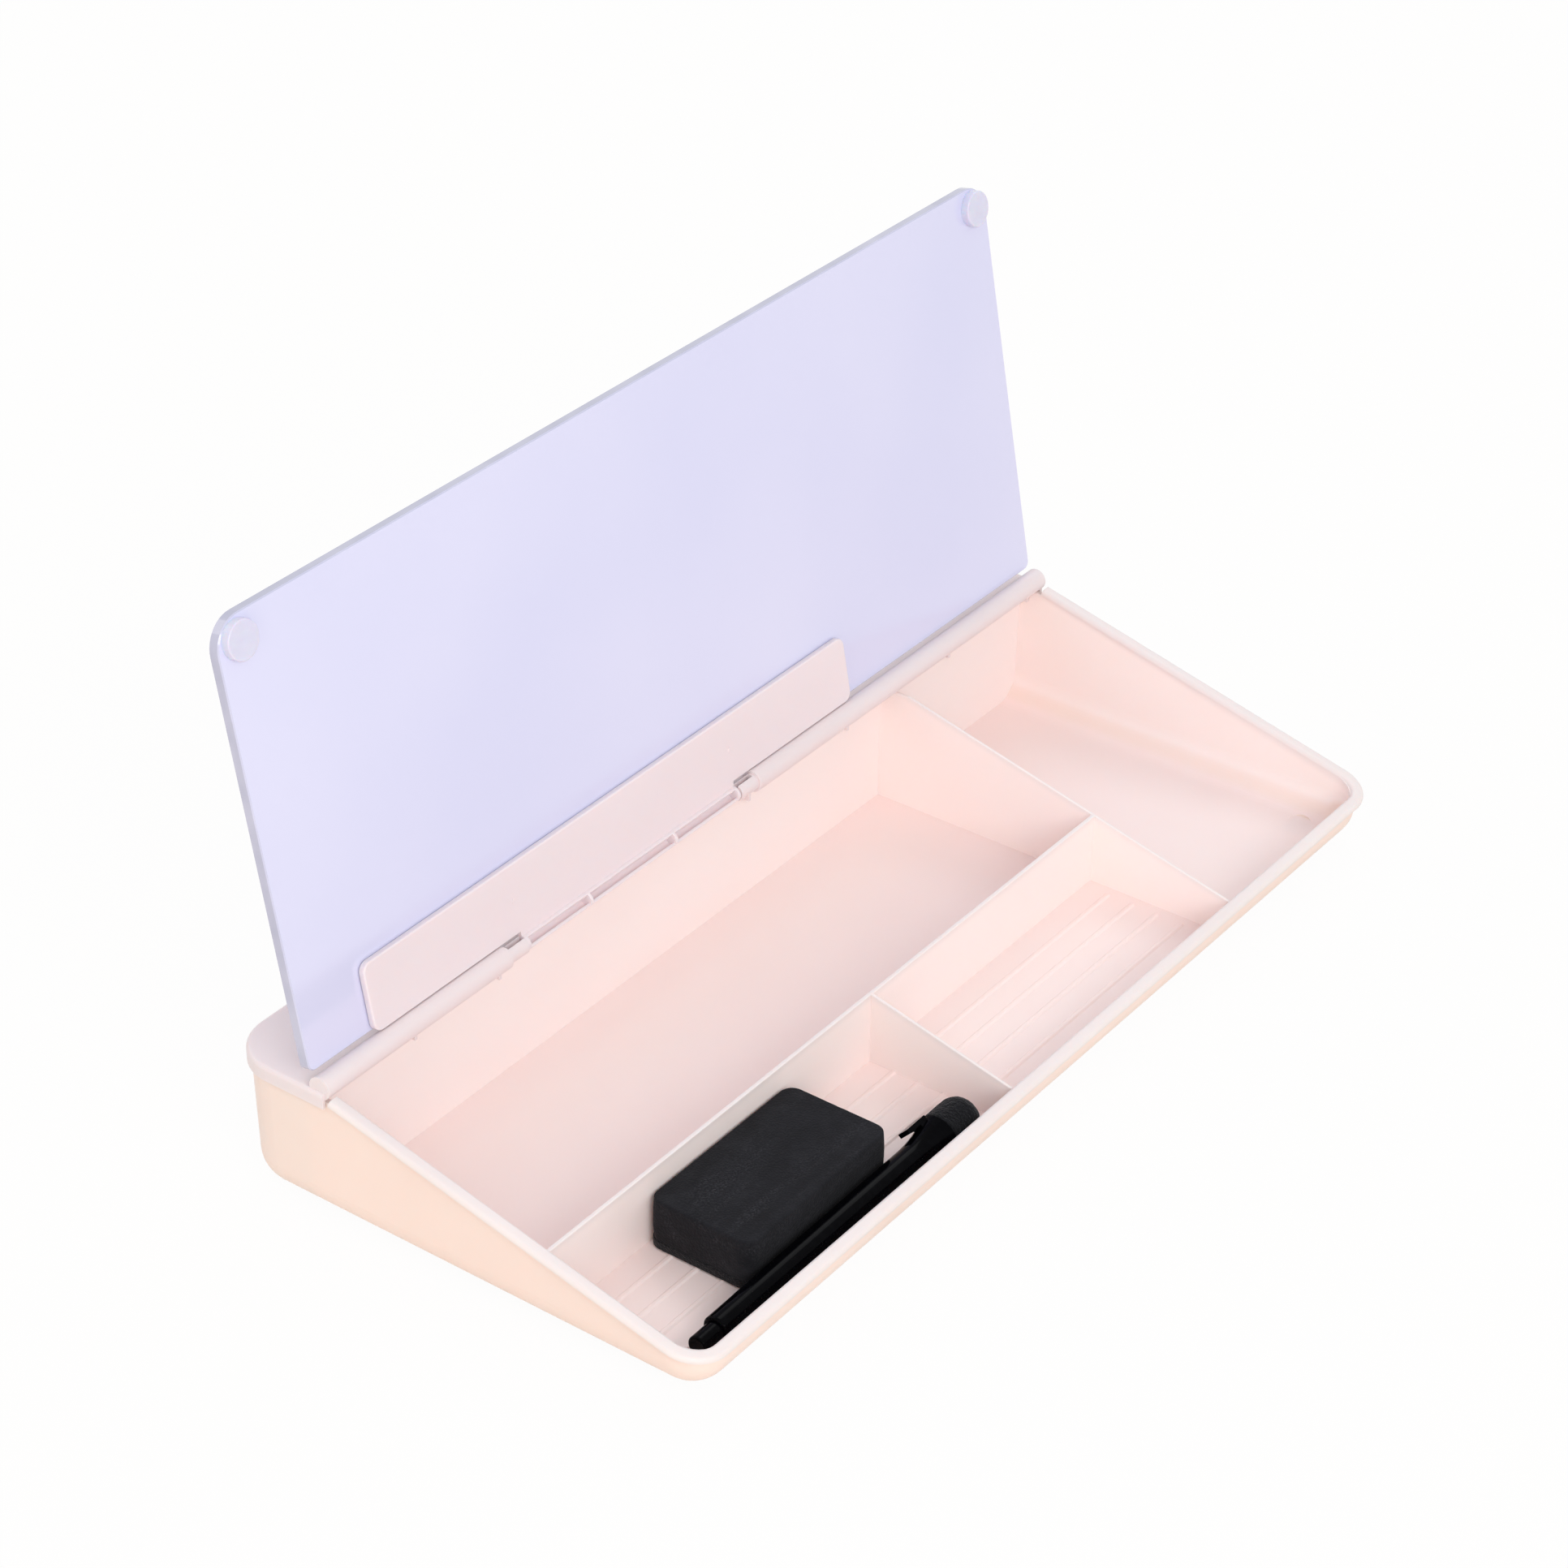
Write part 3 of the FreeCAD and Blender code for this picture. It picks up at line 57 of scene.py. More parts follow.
# Node helpers: each takes and returns sockets
class Shader:
    NOISE_LOW = 0.3
    NOISE_HIGH = 0.7

    def __init__(self, name):
        self.material = bpy.data.materials.new(name)
        self.material.use_nodes = True
        self.tree = self.material.node_tree
        self.tree.nodes.clear()
        output = self.add("ShaderNodeOutputMaterial")
        self.bsdf = self.add("ShaderNodeBsdfPrincipled")
        self.connect(self.bsdf.outputs["BSDF"], output.inputs["Surface"])
        self.coordinates = self.add("ShaderNodeTexCoord").outputs

    def add(self, kind, **settings):
        node = self.tree.nodes.new(kind)
        for key, value in settings.items():
            setattr(node, key, value)
        return node

    def connect(self, source, target):
        self.tree.links.new(source, target)

    # Constant values of the surface
    def set(self, **values):
        for key, value in values.items():
            self.bsdf.inputs[key.replace("_", " ")].default_value = value

    # Values of the surface that vary from place to place
    def feed(self, **sockets):
        for key, source in sockets.items():
            self.connect(source, self.bsdf.inputs[key.replace("_", " ")])

    def noise(self, size, detail=3.0, roughness=0.5, stretch=None):
        texture = self.add("ShaderNodeTexNoise")
        texture.inputs["Scale"].default_value = 1.0 / size
        texture.inputs["Detail"].default_value = detail
        texture.inputs["Roughness"].default_value = roughness
        place = self.coordinates["Object"]
        if stretch is not None:
            mapping = self.add("ShaderNodeMapping")
            mapping.inputs["Scale"].default_value = stretch
            self.connect(place, mapping.inputs["Vector"])
            place = mapping.outputs["Vector"]
        self.connect(place, texture.inputs["Vector"])
        return texture.outputs["Fac"]

    def cells(self, size):
        texture = self.add("ShaderNodeTexVoronoi", feature="F1")
        texture.inputs["Scale"].default_value = 1.0 / size
        self.connect(self.coordinates["Object"], texture.inputs["Vector"])
        return texture.outputs["Distance"]

    def ramp(self, source, *stops):
        ramp = self.add("ShaderNodeValToRGB")
        elements = ramp.color_ramp.elements
        while len(elements) < len(stops):
            elements.new(0.5)
        for element, (place, shade) in zip(elements, stops):
            element.position = place
            element.color = shade
        self.connect(source, ramp.inputs["Fac"])
        return ramp.outputs["Color"]

    def span(self, source, start, stop, low=0.0, high=1.0, kind="LINEAR"):
        node = self.add("ShaderNodeMapRange", interpolation_type=kind)
        node.inputs["From Min"].default_value = start
        node.inputs["From Max"].default_value = stop
        node.inputs["To Min"].default_value = low
        node.inputs["To Max"].default_value = high
        self.connect(source, node.inputs["Value"])
        return node.outputs["Result"]

    # Stretches a noise over a range of values
    def spread(self, source, low, high):
        return self.span(source, self.NOISE_LOW, self.NOISE_HIGH, low, high)

    def fade(self, source, start, stop):
        return self.span(source, start, stop, kind="SMOOTHSTEP")

    def math(self, operation, *items):
        node = self.add("ShaderNodeMath", operation=operation)
        for socket, item in zip(node.inputs, items):
            if isinstance(item, float):
                socket.default_value = item
            else:
                self.connect(item, socket)
        return node.outputs["Value"]

    def blend(self, share, first, second):
        mix = self.add("ShaderNodeMix", data_type="RGBA")
        self.connect(share, mix.inputs["Factor"])
        self.connect(first, mix.inputs["A"])
        self.connect(second, mix.inputs["B"])
        return mix.outputs["Result"]

    def bump(self, source, height, strength, before=None):
        node = self.add("ShaderNodeBump")
        node.inputs["Distance"].default_value = height
        node.inputs["Strength"].default_value = strength
        self.connect(source, node.inputs["Height"])
        if before is not None:
            self.connect(before, node.inputs["Normal"])
        return node.outputs["Normal"]


# Moulded plastic: a fine matte grain, a faint swell and an uneven sheen
PLASTIC_IOR = 1.49
PLASTIC_GLOW_RADIUS = (1.0, 0.7, 0.6)
FLOW_SIZE = 60 * MM
FLOW_STRETCH = (0.5, 1.0, 1.4)
FLOW_LOW = 0.35
FLOW_HIGH = 0.65


def moulded_skin(shader, roughness, glow, depth, grain):
    sheen = shader.noise(9 * MM, detail=4.0)
    wave = shader.noise(25 * MM, detail=1.0)
    swell = shader.bump(wave, height=0.25 * MM, strength=0.2)
    fine = shader.noise(0.45 * MM, detail=2.0)
    matte = shader.bump(fine, height=0.02 * MM, strength=grain, before=swell)
    shader.feed(Roughness=shader.spread(sheen, *roughness), Normal=matte)
    shader.set(
        IOR=PLASTIC_IOR,
        Subsurface_Weight=glow,
        Subsurface_Scale=depth,
        Subsurface_Radius=PLASTIC_GLOW_RADIUS,
    )


# Faint flow shading between two tints
def flow_tint(shader, flow, dark, light):
    return shader.ramp(flow, (FLOW_LOW, dark), (FLOW_HIGH, light))


# Plastic in one tint
def moulded(name, dark, light, roughness, glow, depth, grain):
    shader = Shader(name)
    flow = shader.noise(FLOW_SIZE, detail=2.0, stretch=FLOW_STRETCH)
    shader.feed(Base_Color=flow_tint(shader, flow, dark, light))
    moulded_skin(shader, roughness, glow, depth, grain)
    return shader.material


# The tray's outer shell: a drafted box with round edges under a sloping crest.
# FROM and FULL are where a tint begins and where it covers all.
CREST_MIDDLE = 40.7 * MM
CREST_SLOPE = 0.2358
CREST_HIGHLIGHT_FROM = -5.5 * MM
CREST_HIGHLIGHT_FULL = -1.0 * MM
GROUND_SHADE_FROM = 0.35
GROUND_SHADE_FULL = 0.85
SHELL_HALF_X = 199.7 * MM
SHELL_HALF_Y = 93.025 * MM
SHELL_MIDDLE_Y = -0.225 * MM
SHELL_TOP = 54.0 * MM
SHELL_ROUND = 14.0 * MM
SHELL_ROUND_Z = 15.85 * MM
SHELL_GLOW_FROM = SHELL_ROUND - 1.2 * MM
SHELL_GLOW_FULL = SHELL_ROUND - 0.8 * MM
WALL_DRAFT = math.tan(math.radians(1.5))


# Distance of a point from the block inside the shell's round edges: SHELL_ROUND on the outer face
def shell_reach(shader, across, along, height):
    def beyond(distance, limit):
        return shader.math("MAXIMUM", shader.math("SUBTRACT", distance, limit), 0.0)

    draft = shader.math("MULTIPLY_ADD", height, -WALL_DRAFT, SHELL_TOP * WALL_DRAFT)
    from_middle_x = shader.math("ABSOLUTE", across)
    past_x = beyond(shader.math("ADD", from_middle_x, draft), SHELL_HALF_X - SHELL_ROUND)
    from_middle_y = shader.math("ABSOLUTE", shader.math("SUBTRACT", along, SHELL_MIDDLE_Y))
    past_y = beyond(shader.math("ADD", from_middle_y, draft), SHELL_HALF_Y - SHELL_ROUND)
    past_z = beyond(SHELL_ROUND_Z, height)
    reach = shader.math("MULTIPLY", past_x, past_x)
    reach = shader.math("MULTIPLY_ADD", past_y, past_y, reach)
    return shader.math("SQRT", shader.math("MULTIPLY_ADD", past_z, past_z, reach))


# The tray's plastic with painted light: a painted highlight makes it palest along its crest,
# painted shade makes the floors pinker and a painted warm glow makes the outside peach
def tray_shell(name):
    shader = Shader(name)
    flow = shader.noise(FLOW_SIZE, detail=2.0, stretch=FLOW_STRETCH)
    wall = flow_tint(shader, flow, colour(252, 235, 231), colour(254, 238, 234))
    # painted shade: a pinker, darker tint on upward faces stands in for the shade and pink bounce
    # light inside the compartments
    ground_shade_tint = flow_tint(shader, flow, colour(251, 228, 224), colour(253, 231, 227))
    # painted warm glow: a peach tint on the outer faces stands in for warm light falling on and
    # shining through the walls
    outside_glow_tint = flow_tint(shader, flow, colour(245, 223, 213), colour(248, 226, 216))
    # painted highlight: a paler, less pink tint along the crest stands in for the light the
    # rounded rim catches
    crest_highlight_tint = flow_tint(shader, flow, colour(235, 224, 222), colour(238, 227, 225))
    place = shader.add("ShaderNodeSeparateXYZ")
    shader.connect(shader.coordinates["Object"], place.inputs["Vector"])
    facing = shader.add("ShaderNodeSeparateXYZ")
    shader.connect(shader.coordinates["Normal"], facing.inputs["Vector"])
    across, along, height = (place.outputs[axis] for axis in "XYZ")

    # mask of the painted crest highlight, by height above the sloping crest line
    below_crest = shader.math("MULTIPLY_ADD", along, -CREST_SLOPE, -CREST_MIDDLE)
    crest_highlight_share = shader.fade(shader.math("ADD", height, below_crest), CREST_HIGHLIGHT_FROM, CREST_HIGHLIGHT_FULL)
    # mask of the painted floor shade, by how far a face points up
    ground_shade_share = shader.fade(facing.outputs["Z"], GROUND_SHADE_FROM, GROUND_SHADE_FULL)
    # mask of the painted warm glow, by nearness to the outer shell's faces
    outer_glow_share = shader.fade(shell_reach(shader, across, along, height), SHELL_GLOW_FROM, SHELL_GLOW_FULL)

    inside = shader.blend(ground_shade_share, wall, ground_shade_tint)
    shell = shader.blend(outer_glow_share, inside, outside_glow_tint)
    shader.feed(Base_Color=shader.blend(crest_highlight_share, shell, crest_highlight_tint))
    moulded_skin(shader, roughness=(0.42, 0.55), glow=0.3, depth=3.0 * MM, grain=0.2)
    return shader.material


# Coated glass: pale coating behind the face, grey cut edges, fine ripple.
# The lean is that of the raised board, at which its mesh is given.
BOARD_LEAN = math.radians(79.26)
BOARD_NORMAL = (0.0, -math.sin(BOARD_LEAN), math.cos(BOARD_LEAN))
FACE_FROM = 0.55
FACE_FULL = 0.95


def coated_glass(name):
    shader = Shader(name)
    cloud = shader.noise(120 * MM, detail=2.0)
    face = shader.ramp(cloud, (0.3, colour(214, 214, 242)), (0.7, colour(221, 220, 245)))
    streak = shader.noise(14 * MM, detail=2.0)
    edge = shader.ramp(streak, (0.3, colour(179, 179, 201)), (0.7, colour(195, 194, 214)))
    facing = shader.add("ShaderNodeVectorMath", operation="DOT_PRODUCT")
    facing.inputs[1].default_value = BOARD_NORMAL
    shader.connect(shader.coordinates["Normal"], facing.inputs[0])
    either_face = shader.math("ABSOLUTE", facing.outputs["Value"])
    face_share = shader.span(either_face, FACE_FROM, FACE_FULL)
    ripple = shader.noise(40 * MM, detail=1.0)
    smear = shader.noise(30 * MM, detail=5.0)
    shader.feed(
        Base_Color=shader.blend(face_share, edge, face),
        Normal=shader.bump(ripple, height=0.1 * MM, strength=0.12),
        Roughness=shader.spread(smear, 0.05, 0.11),
    )
    shader.set(IOR=1.5, Coat_Weight=0.4, Coat_Roughness=0.03)
    return shader.material


# Clear soft bumper: milky inside with a smooth skin
def clear_rubber(name):
    shader = Shader(name)
    cloud = shader.noise(4 * MM, detail=3.0)
    wave = shader.noise(3 * MM, detail=2.0)
    shader.feed(
        Base_Color=shader.ramp(cloud, (0.3, colour(214, 213, 233)), (0.7, colour(219, 218, 237))),
        Normal=shader.bump(wave, height=0.05 * MM, strength=0.15),
    )
    shader.set(Roughness=0.3, IOR=1.48, Coat_Weight=0.1)
    shader.set(Subsurface_Weight=0.35, Subsurface_Scale=2.0 * MM)
    return shader.material


# Matte rubber for the feet and the adhesive strip
def matte_rubber(name, dark, light):
    shader = Shader(name)
    dust = shader.noise(1.2 * MM, detail=5.0)
    grain = shader.noise(0.3 * MM, detail=3.0)
    shader.feed(
        Base_Color=shader.ramp(dust, (0.3, dark), (0.7, light)),
        Normal=shader.bump(grain, height=0.05 * MM, strength=0.4),
    )
    shader.set(Roughness=0.75, IOR=1.5)
    return shader.material


# Gloss black plastic of the marker
def gloss_black(name):
    shader = Shader(name)
    dust = shader.noise(2.5 * MM, detail=6.0)
    scuff = shader.noise(1.5 * MM, detail=4.0, stretch=(0.15, 1.0, 1.0))
    wave = shader.noise(6 * MM, detail=1.0)
    shader.feed(
        Base_Color=shader.ramp(dust, (0.45, colour(3, 3, 5)), (0.8, colour(8, 8, 11))),
        Roughness=shader.spread(scuff, 0.08, 0.13),
        Normal=shader.bump(wave, height=0.05 * MM, strength=0.2),
    )
    shader.set(IOR=1.45, Specular_IOR_Level=0.04)
    return shader.material


# Closed-cell foam: fine pores, chalky bloom and faint drag marks
def cell_foam(name):
    shader = Shader(name)
    bloom = shader.noise(12 * MM, detail=8.0, roughness=0.7)
    tint = shader.ramp(
        bloom, (0.3, colour(19, 19, 22)), (0.5, colour(25, 25, 29)), (0.75, colour(37, 37, 41))
    )
    chalk = shader.noise(0.7 * MM, detail=3.0, roughness=0.7)
    dust = shader.ramp(chalk, (0.45, colour(23, 23, 27)), (0.75, colour(58, 58, 62)))
    drag = shader.noise(5 * MM, detail=5.0, stretch=(0.12, 1.0, 1.0))
    pits = shader.bump(shader.cells(0.8 * MM), height=0.25 * MM, strength=0.6)
    grain = shader.noise(0.35 * MM, detail=3.0)
    shader.feed(
        Base_Color=shader.blend(shader.fade(drag, 0.4, 0.8), tint, dust),
        Normal=shader.bump(grain, height=0.12 * MM, strength=0.6, before=pits),
    )
    shader.set(Roughness=0.9, IOR=1.4, Specular_IOR_Level=0.2)
    shader.set(Sheen_Weight=0.04, Sheen_Roughness=0.5)
    return shader.material


# Pressed felt: tangled fibres and a soft sheen
def pressed_felt(name, dark, light, fibre):
    shader = Shader(name)
    tangle = shader.noise(fibre, detail=8.0, roughness=0.7)
    strands = shader.noise(fibre * 0.5, detail=6.0, stretch=(1.0, 0.35, 1.0))
    fuzz = shader.bump(strands, height=0.4 * MM, strength=0.9)
    clumps = shader.cells(fibre * 1.5)
    shader.feed(
        Base_Color=shader.ramp(tangle, (0.35, dark), (0.7, light)),
        Normal=shader.bump(clumps, height=0.4 * MM, strength=0.6, before=fuzz),
    )
    shader.set(Roughness=0.95, Specular_IOR_Level=0.15)
    shader.set(Sheen_Weight=0.12, Sheen_Roughness=0.4)
    return shader.material


tray_plastic = tray_shell("tray_plastic")
cover_plastic = moulded(
    "cover_plastic", colour(232, 218, 219), colour(236, 222, 223),
    roughness=(0.38, 0.5), glow=0.3, depth=3.0 * MM, grain=0.2,
)
hinge_plastic = moulded(
    "hinge_plastic", colour(237, 222, 225), colour(240, 225, 228),
    roughness=(0.4, 0.52), glow=0.5, depth=3.0 * MM, grain=0.25,
)
nose_plastic = moulded(
    "marker_nose_plastic", colour(222, 222, 222), colour(230, 230, 230),
    roughness=(0.35, 0.45), glow=0.05, depth=1.0 * MM, grain=0.2,
)
board_glass = coated_glass("board_glass")
bumper_rubber = clear_rubber("bumper_rubber")
foot_rubber = matte_rubber("foot_rubber", colour(196, 193, 193), colour(212, 209, 209))
tape_foam = matte_rubber("tape_foam", colour(232, 232, 229), colour(242, 242, 240))
marker_plastic = gloss_black("marker_plastic")
eraser_foam = cell_foam("eraser_foam")
eraser_felt = pressed_felt("eraser_felt", colour(17, 17, 20), colour(33, 33, 36), 0.6 * MM)
cap_felt = pressed_felt("cap_felt", colour(2, 2, 3), colour(25, 25, 30), 0.8 * MM)
nib_fibre = pressed_felt("nib_fibre", colour(16, 16, 17), colour(34, 34, 36), 0.3 * MM)
filler_fibre = pressed_felt("filler_fibre", colour(24, 24, 28), colour(40, 40, 46), 0.5 * MM)

FINISHES = {
    "tray": tray_plastic,
    "rear_cover": cover_plastic,
    "hinge_plate": hinge_plastic,
    "hinge_tape": tape_foam,
    "glass_board": board_glass,
    "bumper_left": bumper_rubber,
    "bumper_right": bumper_rubber,
    "foot_front_left": foot_rubber,
    "foot_front_right": foot_rubber,
    "foot_rear_left": foot_rubber,
    "foot_rear_right": foot_rubber,
    "marker_barrel": marker_plastic,
    "marker_tail": marker_plastic,
    "marker_cap": marker_plastic,
    "marker_nose": nose_plastic,
    "marker_nib": nib_fibre,
    "marker_filler": filler_fibre,
}
for name, finish in FINISHES.items():
    mesh = nodes[name].data
    mesh.materials.clear()
    mesh.materials.append(finish)


# Soft pieces made here, each in the place of a CAD solid
def make_piece(name, mesh_builder, finish, body, replaced):
    mesh = bpy.data.meshes.new(name)
    maker = bmesh.new()
    mesh_builder(maker)
    bmesh.ops.recalc_face_normals(maker, faces=maker.faces)
    maker.to_mesh(mesh)
    maker.free()
    for face in mesh.polygons:
        face.use_smooth = True
    mesh.materials.append(finish)
    piece = bpy.data.objects.new(name, mesh)
    scene.collection.objects.link(piece)
    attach(piece, body)
    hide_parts(replaced)


# A soft surface's unevenness at a place: noise at two pitches per metre.
# Without a seed of its own, the noise would differ from run to run.
NOISE_SEED = 11
MAIN_SHARE = 0.7
SECOND_SHARE = 0.3
noise.seed_set(NOISE_SEED)


def unevenness(place, rough, main_pitch, second_pitch):
    shake = noise.noise_vector(place * main_pitch) * rough * MAIN_SHARE
    return shake + noise.noise_vector(place * second_pitch) * rough * SECOND_SHARE


def bridge(maker, first, second):
    count = len(first)
    for index in range(count):
        after = (index + 1) % count
        maker.faces.new((first[index], first[after], second[after], second[index]))


# Outline of a rectangle with round corners, from its middle, with a chosen inset
CORNER_SIGNS = ((1, 1), (-1, 1), (-1, -1), (1, -1))
CORNER_STEPS = 8
SIDE_STEPS = 14


def rounded_outline(half_x, half_y, radius, inset):
    reach = max(radius - inset, 0.0)

    def corner_point(corner, quarters):
        sign_x, sign_y = CORNER_SIGNS[corner % 4]
        angle = math.radians(90 * quarters)
        centre_x = sign_x * (half_x - inset - reach)
        centre_y = sign_y * (half_y - inset - reach)
        return centre_x + reach * math.cos(angle), centre_y + reach * math.sin(angle)

    points = []
    for corner in range(4):
        for step in range(CORNER_STEPS + 1):
            points.append(corner_point(corner, corner + step / CORNER_STEPS))
        start_x, start_y = points[-1]
        stop_x, stop_y = corner_point(corner + 1, corner + 1)
        for step in range(1, SIDE_STEPS):
            share = step / SIDE_STEPS
            x = start_x + (stop_x - start_x) * share
            y = start_y + (stop_y - start_y) * share
            points.append((x, y))
    return points


# A soft slab: rings round its lower edge, up its bulging side,
# round its upper edge and in over the top
EDGE_STEPS = 5
BULGE_STEPS = 10
TOP_STEPS = 12
FLAT_BELOW = 0.05 * MM
SLAB_PITCH = 450
SLAB_SECOND_PITCH = 90


def slab_rings(height, foot, edge, bulge):
    rings = []
    for step in range(EDGE_STEPS + 1):
        angle = math.radians(90 * step / EDGE_STEPS)
        rings.append((bulge + foot * (1 - math.sin(angle)), foot * (1 - math.cos(angle))))
    for step in range(1, BULGE_STEPS):
        share = step / BULGE_STEPS
        level = foot + (height - foot - edge) * share
        rings.append((bulge * (1 - math.sin(math.pi * share)), level))
    for step in range(EDGE_STEPS + 1):
        angle = math.radians(90 * step / EDGE_STEPS)
        level = height - edge * (1 - math.sin(angle))
        rings.append((bulge + edge * (1 - math.cos(angle)), level))
    return rings


def soft_slab(low, high, corner, foot, edge, crown, bulge, rough):
    centre = (low + high) / 2
    half = (high - low) / 2

    def build(maker):
        height = high.z - low.z
        rings = slab_rings(height, foot, edge, bulge)
        before_edge = len(rings) - EDGE_STEPS - 2
        loops = []
        for index, (inset, level) in enumerate(rings):
            outline = rounded_outline(half.x - rough, half.y - rough, corner, inset)
            drop = crown * max(0.0, (index - before_edge) / (EDGE_STEPS + 1))
            loops.append([(x, y, level - drop) for x, y in outline])
        brim = loops[-1]
        for step in range(1, TOP_STEPS):
            share = step / TOP_STEPS
            rise = crown * (1 - (1 - share) ** 2)
            level = height - crown + rise
            loops.append([(x * (1 - share), y * (1 - share), level) for x, y, z in brim])
        corners = []
        for loop in loops:
            row = []
            for x, y, z in loop:
                place = Vector((centre.x + x, centre.y + y, low.z + z))
                if z > FLAT_BELOW:
                    place = place + unevenness(place, rough, SLAB_PITCH, SLAB_SECOND_PITCH)
                row.append(maker.verts.new(place))
            corners.append(row)
        for first, second in zip(corners, corners[1:]):
            bridge(maker, first, second)
        tip = maker.verts.new(Vector((centre.x, centre.y, low.z + height)))
        top = corners[-1]
        for index in range(len(top)):
            maker.faces.new((top[index], top[(index + 1) % len(top)], tip))
        maker.faces.new(list(reversed(corners[0])))

    return build


SOFT_ROUGH = 0.12 * MM
ERASER_CORNER = 5.0 * MM
block_low, block_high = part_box("eraser_block")
block_form = soft_slab(
    block_low, block_high, ERASER_CORNER,
    foot=0.15 * MM, edge=1.0 * MM, crown=0.25 * MM, bulge=0.3 * MM, rough=SOFT_ROUGH,
)
make_piece(
    "eraser_foam_block", block_form, eraser_foam,
    body="eraser", replaced="eraser_block",
)
pad_low, pad_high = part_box("eraser_pad")
pad_form = soft_slab(
    pad_low, pad_high, ERASER_CORNER,
    foot=0.3 * MM, edge=0.1 * MM, crown=0.02 * MM, bulge=0.0, rough=SOFT_ROUGH,
)
make_piece(
    "eraser_felt_pad", pad_form, eraser_felt,
    body="eraser", replaced="eraser_pad",
)

# Felt on the marker's cap, turned about the marker's axis
MARKER_BASE = Vector((-183.65, -79.35, 8.85)) * MM
MARKER_AXIS = Vector((0.99962971, -0.00907459, 0.02565317)).normalized()
FELT_START = 125.5 * MM
FELT_LENGTH = 17.0 * MM
FELT_RADIUS = 8.0 * MM
FELT_DOME = 6.0 * MM
FELT_ROUGH = 0.16 * MM
FELT_EDGE = 0.3 * MM
FELT_INNER = 0.6
FELT_SIDE_STEPS = 11
FELT_DOME_STEPS = 13
FELT_END_SHARES = (0.85, 0.6, 0.3)
FELT_ROUNDS = 72
FELT_PITCH = 700
FELT_SECOND_PITCH = 1900


# Places along the axis and radii of the felt
def felt_profile():
    radius = FELT_RADIUS - FELT_ROUGH
    straight = FELT_LENGTH - FELT_DOME - FELT_ROUGH
    profile = [(0.0, radius * FELT_INNER), (0.0, radius - FELT_EDGE), (FELT_EDGE, radius)]
    for step in range(1, FELT_SIDE_STEPS + 1):
        profile.append((FELT_EDGE + (straight - FELT_EDGE) * step / FELT_SIDE_STEPS, radius))
    for step in range(1, FELT_DOME_STEPS):
        angle = math.radians(90 * step / FELT_DOME_STEPS)
        along = straight + FELT_DOME * math.sin(angle)
        profile.append((along, radius - FELT_DOME * (1 - math.cos(angle))))
    for share in FELT_END_SHARES:
        profile.append((straight + FELT_DOME, (radius - FELT_DOME) * share))
    return profile


def felt_tip(maker):
    side = MARKER_AXIS.cross(Vector((0, 0, 1))).normalized()
    up = side.cross(MARKER_AXIS).normalized()
    rows = []
    for along, reach in felt_profile():
        row = []
        for step in range(FELT_ROUNDS):
            angle = 2 * math.pi * step / FELT_ROUNDS
            place = MARKER_BASE + MARKER_AXIS * (FELT_START + along)
            place = place + (side * math.cos(angle) + up * math.sin(angle)) * reach
            shake = unevenness(place, FELT_ROUGH, FELT_PITCH, FELT_SECOND_PITCH)
            row.append(maker.verts.new(place + shake))
        rows.append(row)
    for first, second in zip(rows, rows[1:]):
        bridge(maker, first, second)
    maker.faces.new(rows[0])
    maker.faces.new(list(reversed(rows[-1])))


make_piece(
    "cap_felt_tip", felt_tip, cap_felt,
    body="cap", replaced="marker_felt",
)

# Camera at the photograph's place: focal length in pixels over the frame's width
SENSOR_WIDTH = 36.0
FOCAL_PIXELS = 4956.4
FRAME_PIXELS = 1932
CAMERA_PLACE = Vector((-918.442, -641.231, 800.414)) * MM
CAMERA_RIGHT = Vector((0.593602, -0.804657, 0.012808))
CAMERA_UP = Vector((0.426799, 0.328266, 0.842665))
CAMERA_BACK = Vector((-0.682260, -0.494742, 0.538286))
camera_data = bpy.data.cameras.new("camera")
camera_data.sensor_width = SENSOR_WIDTH
camera_data.lens = SENSOR_WIDTH * FOCAL_PIXELS / FRAME_PIXELS
camera_data.clip_start = 0.05
camera_data.clip_end = 50.0
camera = bpy.data.objects.new("camera", camera_data)
turn = Matrix((CAMERA_RIGHT, CAMERA_UP, CAMERA_BACK)).transposed().to_4x4()
camera.matrix_world = Matrix.Translation(CAMERA_PLACE) @ turn
scene.collection.objects.link(camera)
scene.camera = camera

# Studio: white to the camera, to reflections and through glass, a plain grey dome for light
WHITE = (1.0, 1.0, 1.0, 1.0)
DOME_TINT = (0.97, 0.988, 1.0, 1.0)
DOME_STRENGTH = 0.725
FLOOR_TINT = (0.88, 0.81, 0.74, 1.0)
FLOOR_WHITE_SHARE = 0.95
FLOOR_HALF = 4.0


def seen_directly(tree):
    path = tree.nodes.new("ShaderNodeLightPath")
    seen = path.outputs["Is Camera Ray"]
    for ray in ("Is Glossy Ray", "Is Transmission Ray"):
        either = tree.nodes.new("ShaderNodeMath")
        either.operation = "MAXIMUM"
        tree.links.new(seen, either.inputs[0])
        tree.links.new(path.outputs[ray], either.inputs[1])
        seen = either.outputs["Value"]
    return seen


def choose_shader(tree, share, lit, shown, output):
    choose = tree.nodes.new("ShaderNodeMixShader")
    tree.links.new(share, choose.inputs[0])
    tree.links.new(lit.outputs[0], choose.inputs[1])
    tree.links.new(shown.outputs[0], choose.inputs[2])
    tree.links.new(choose.outputs[0], output.inputs["Surface"])


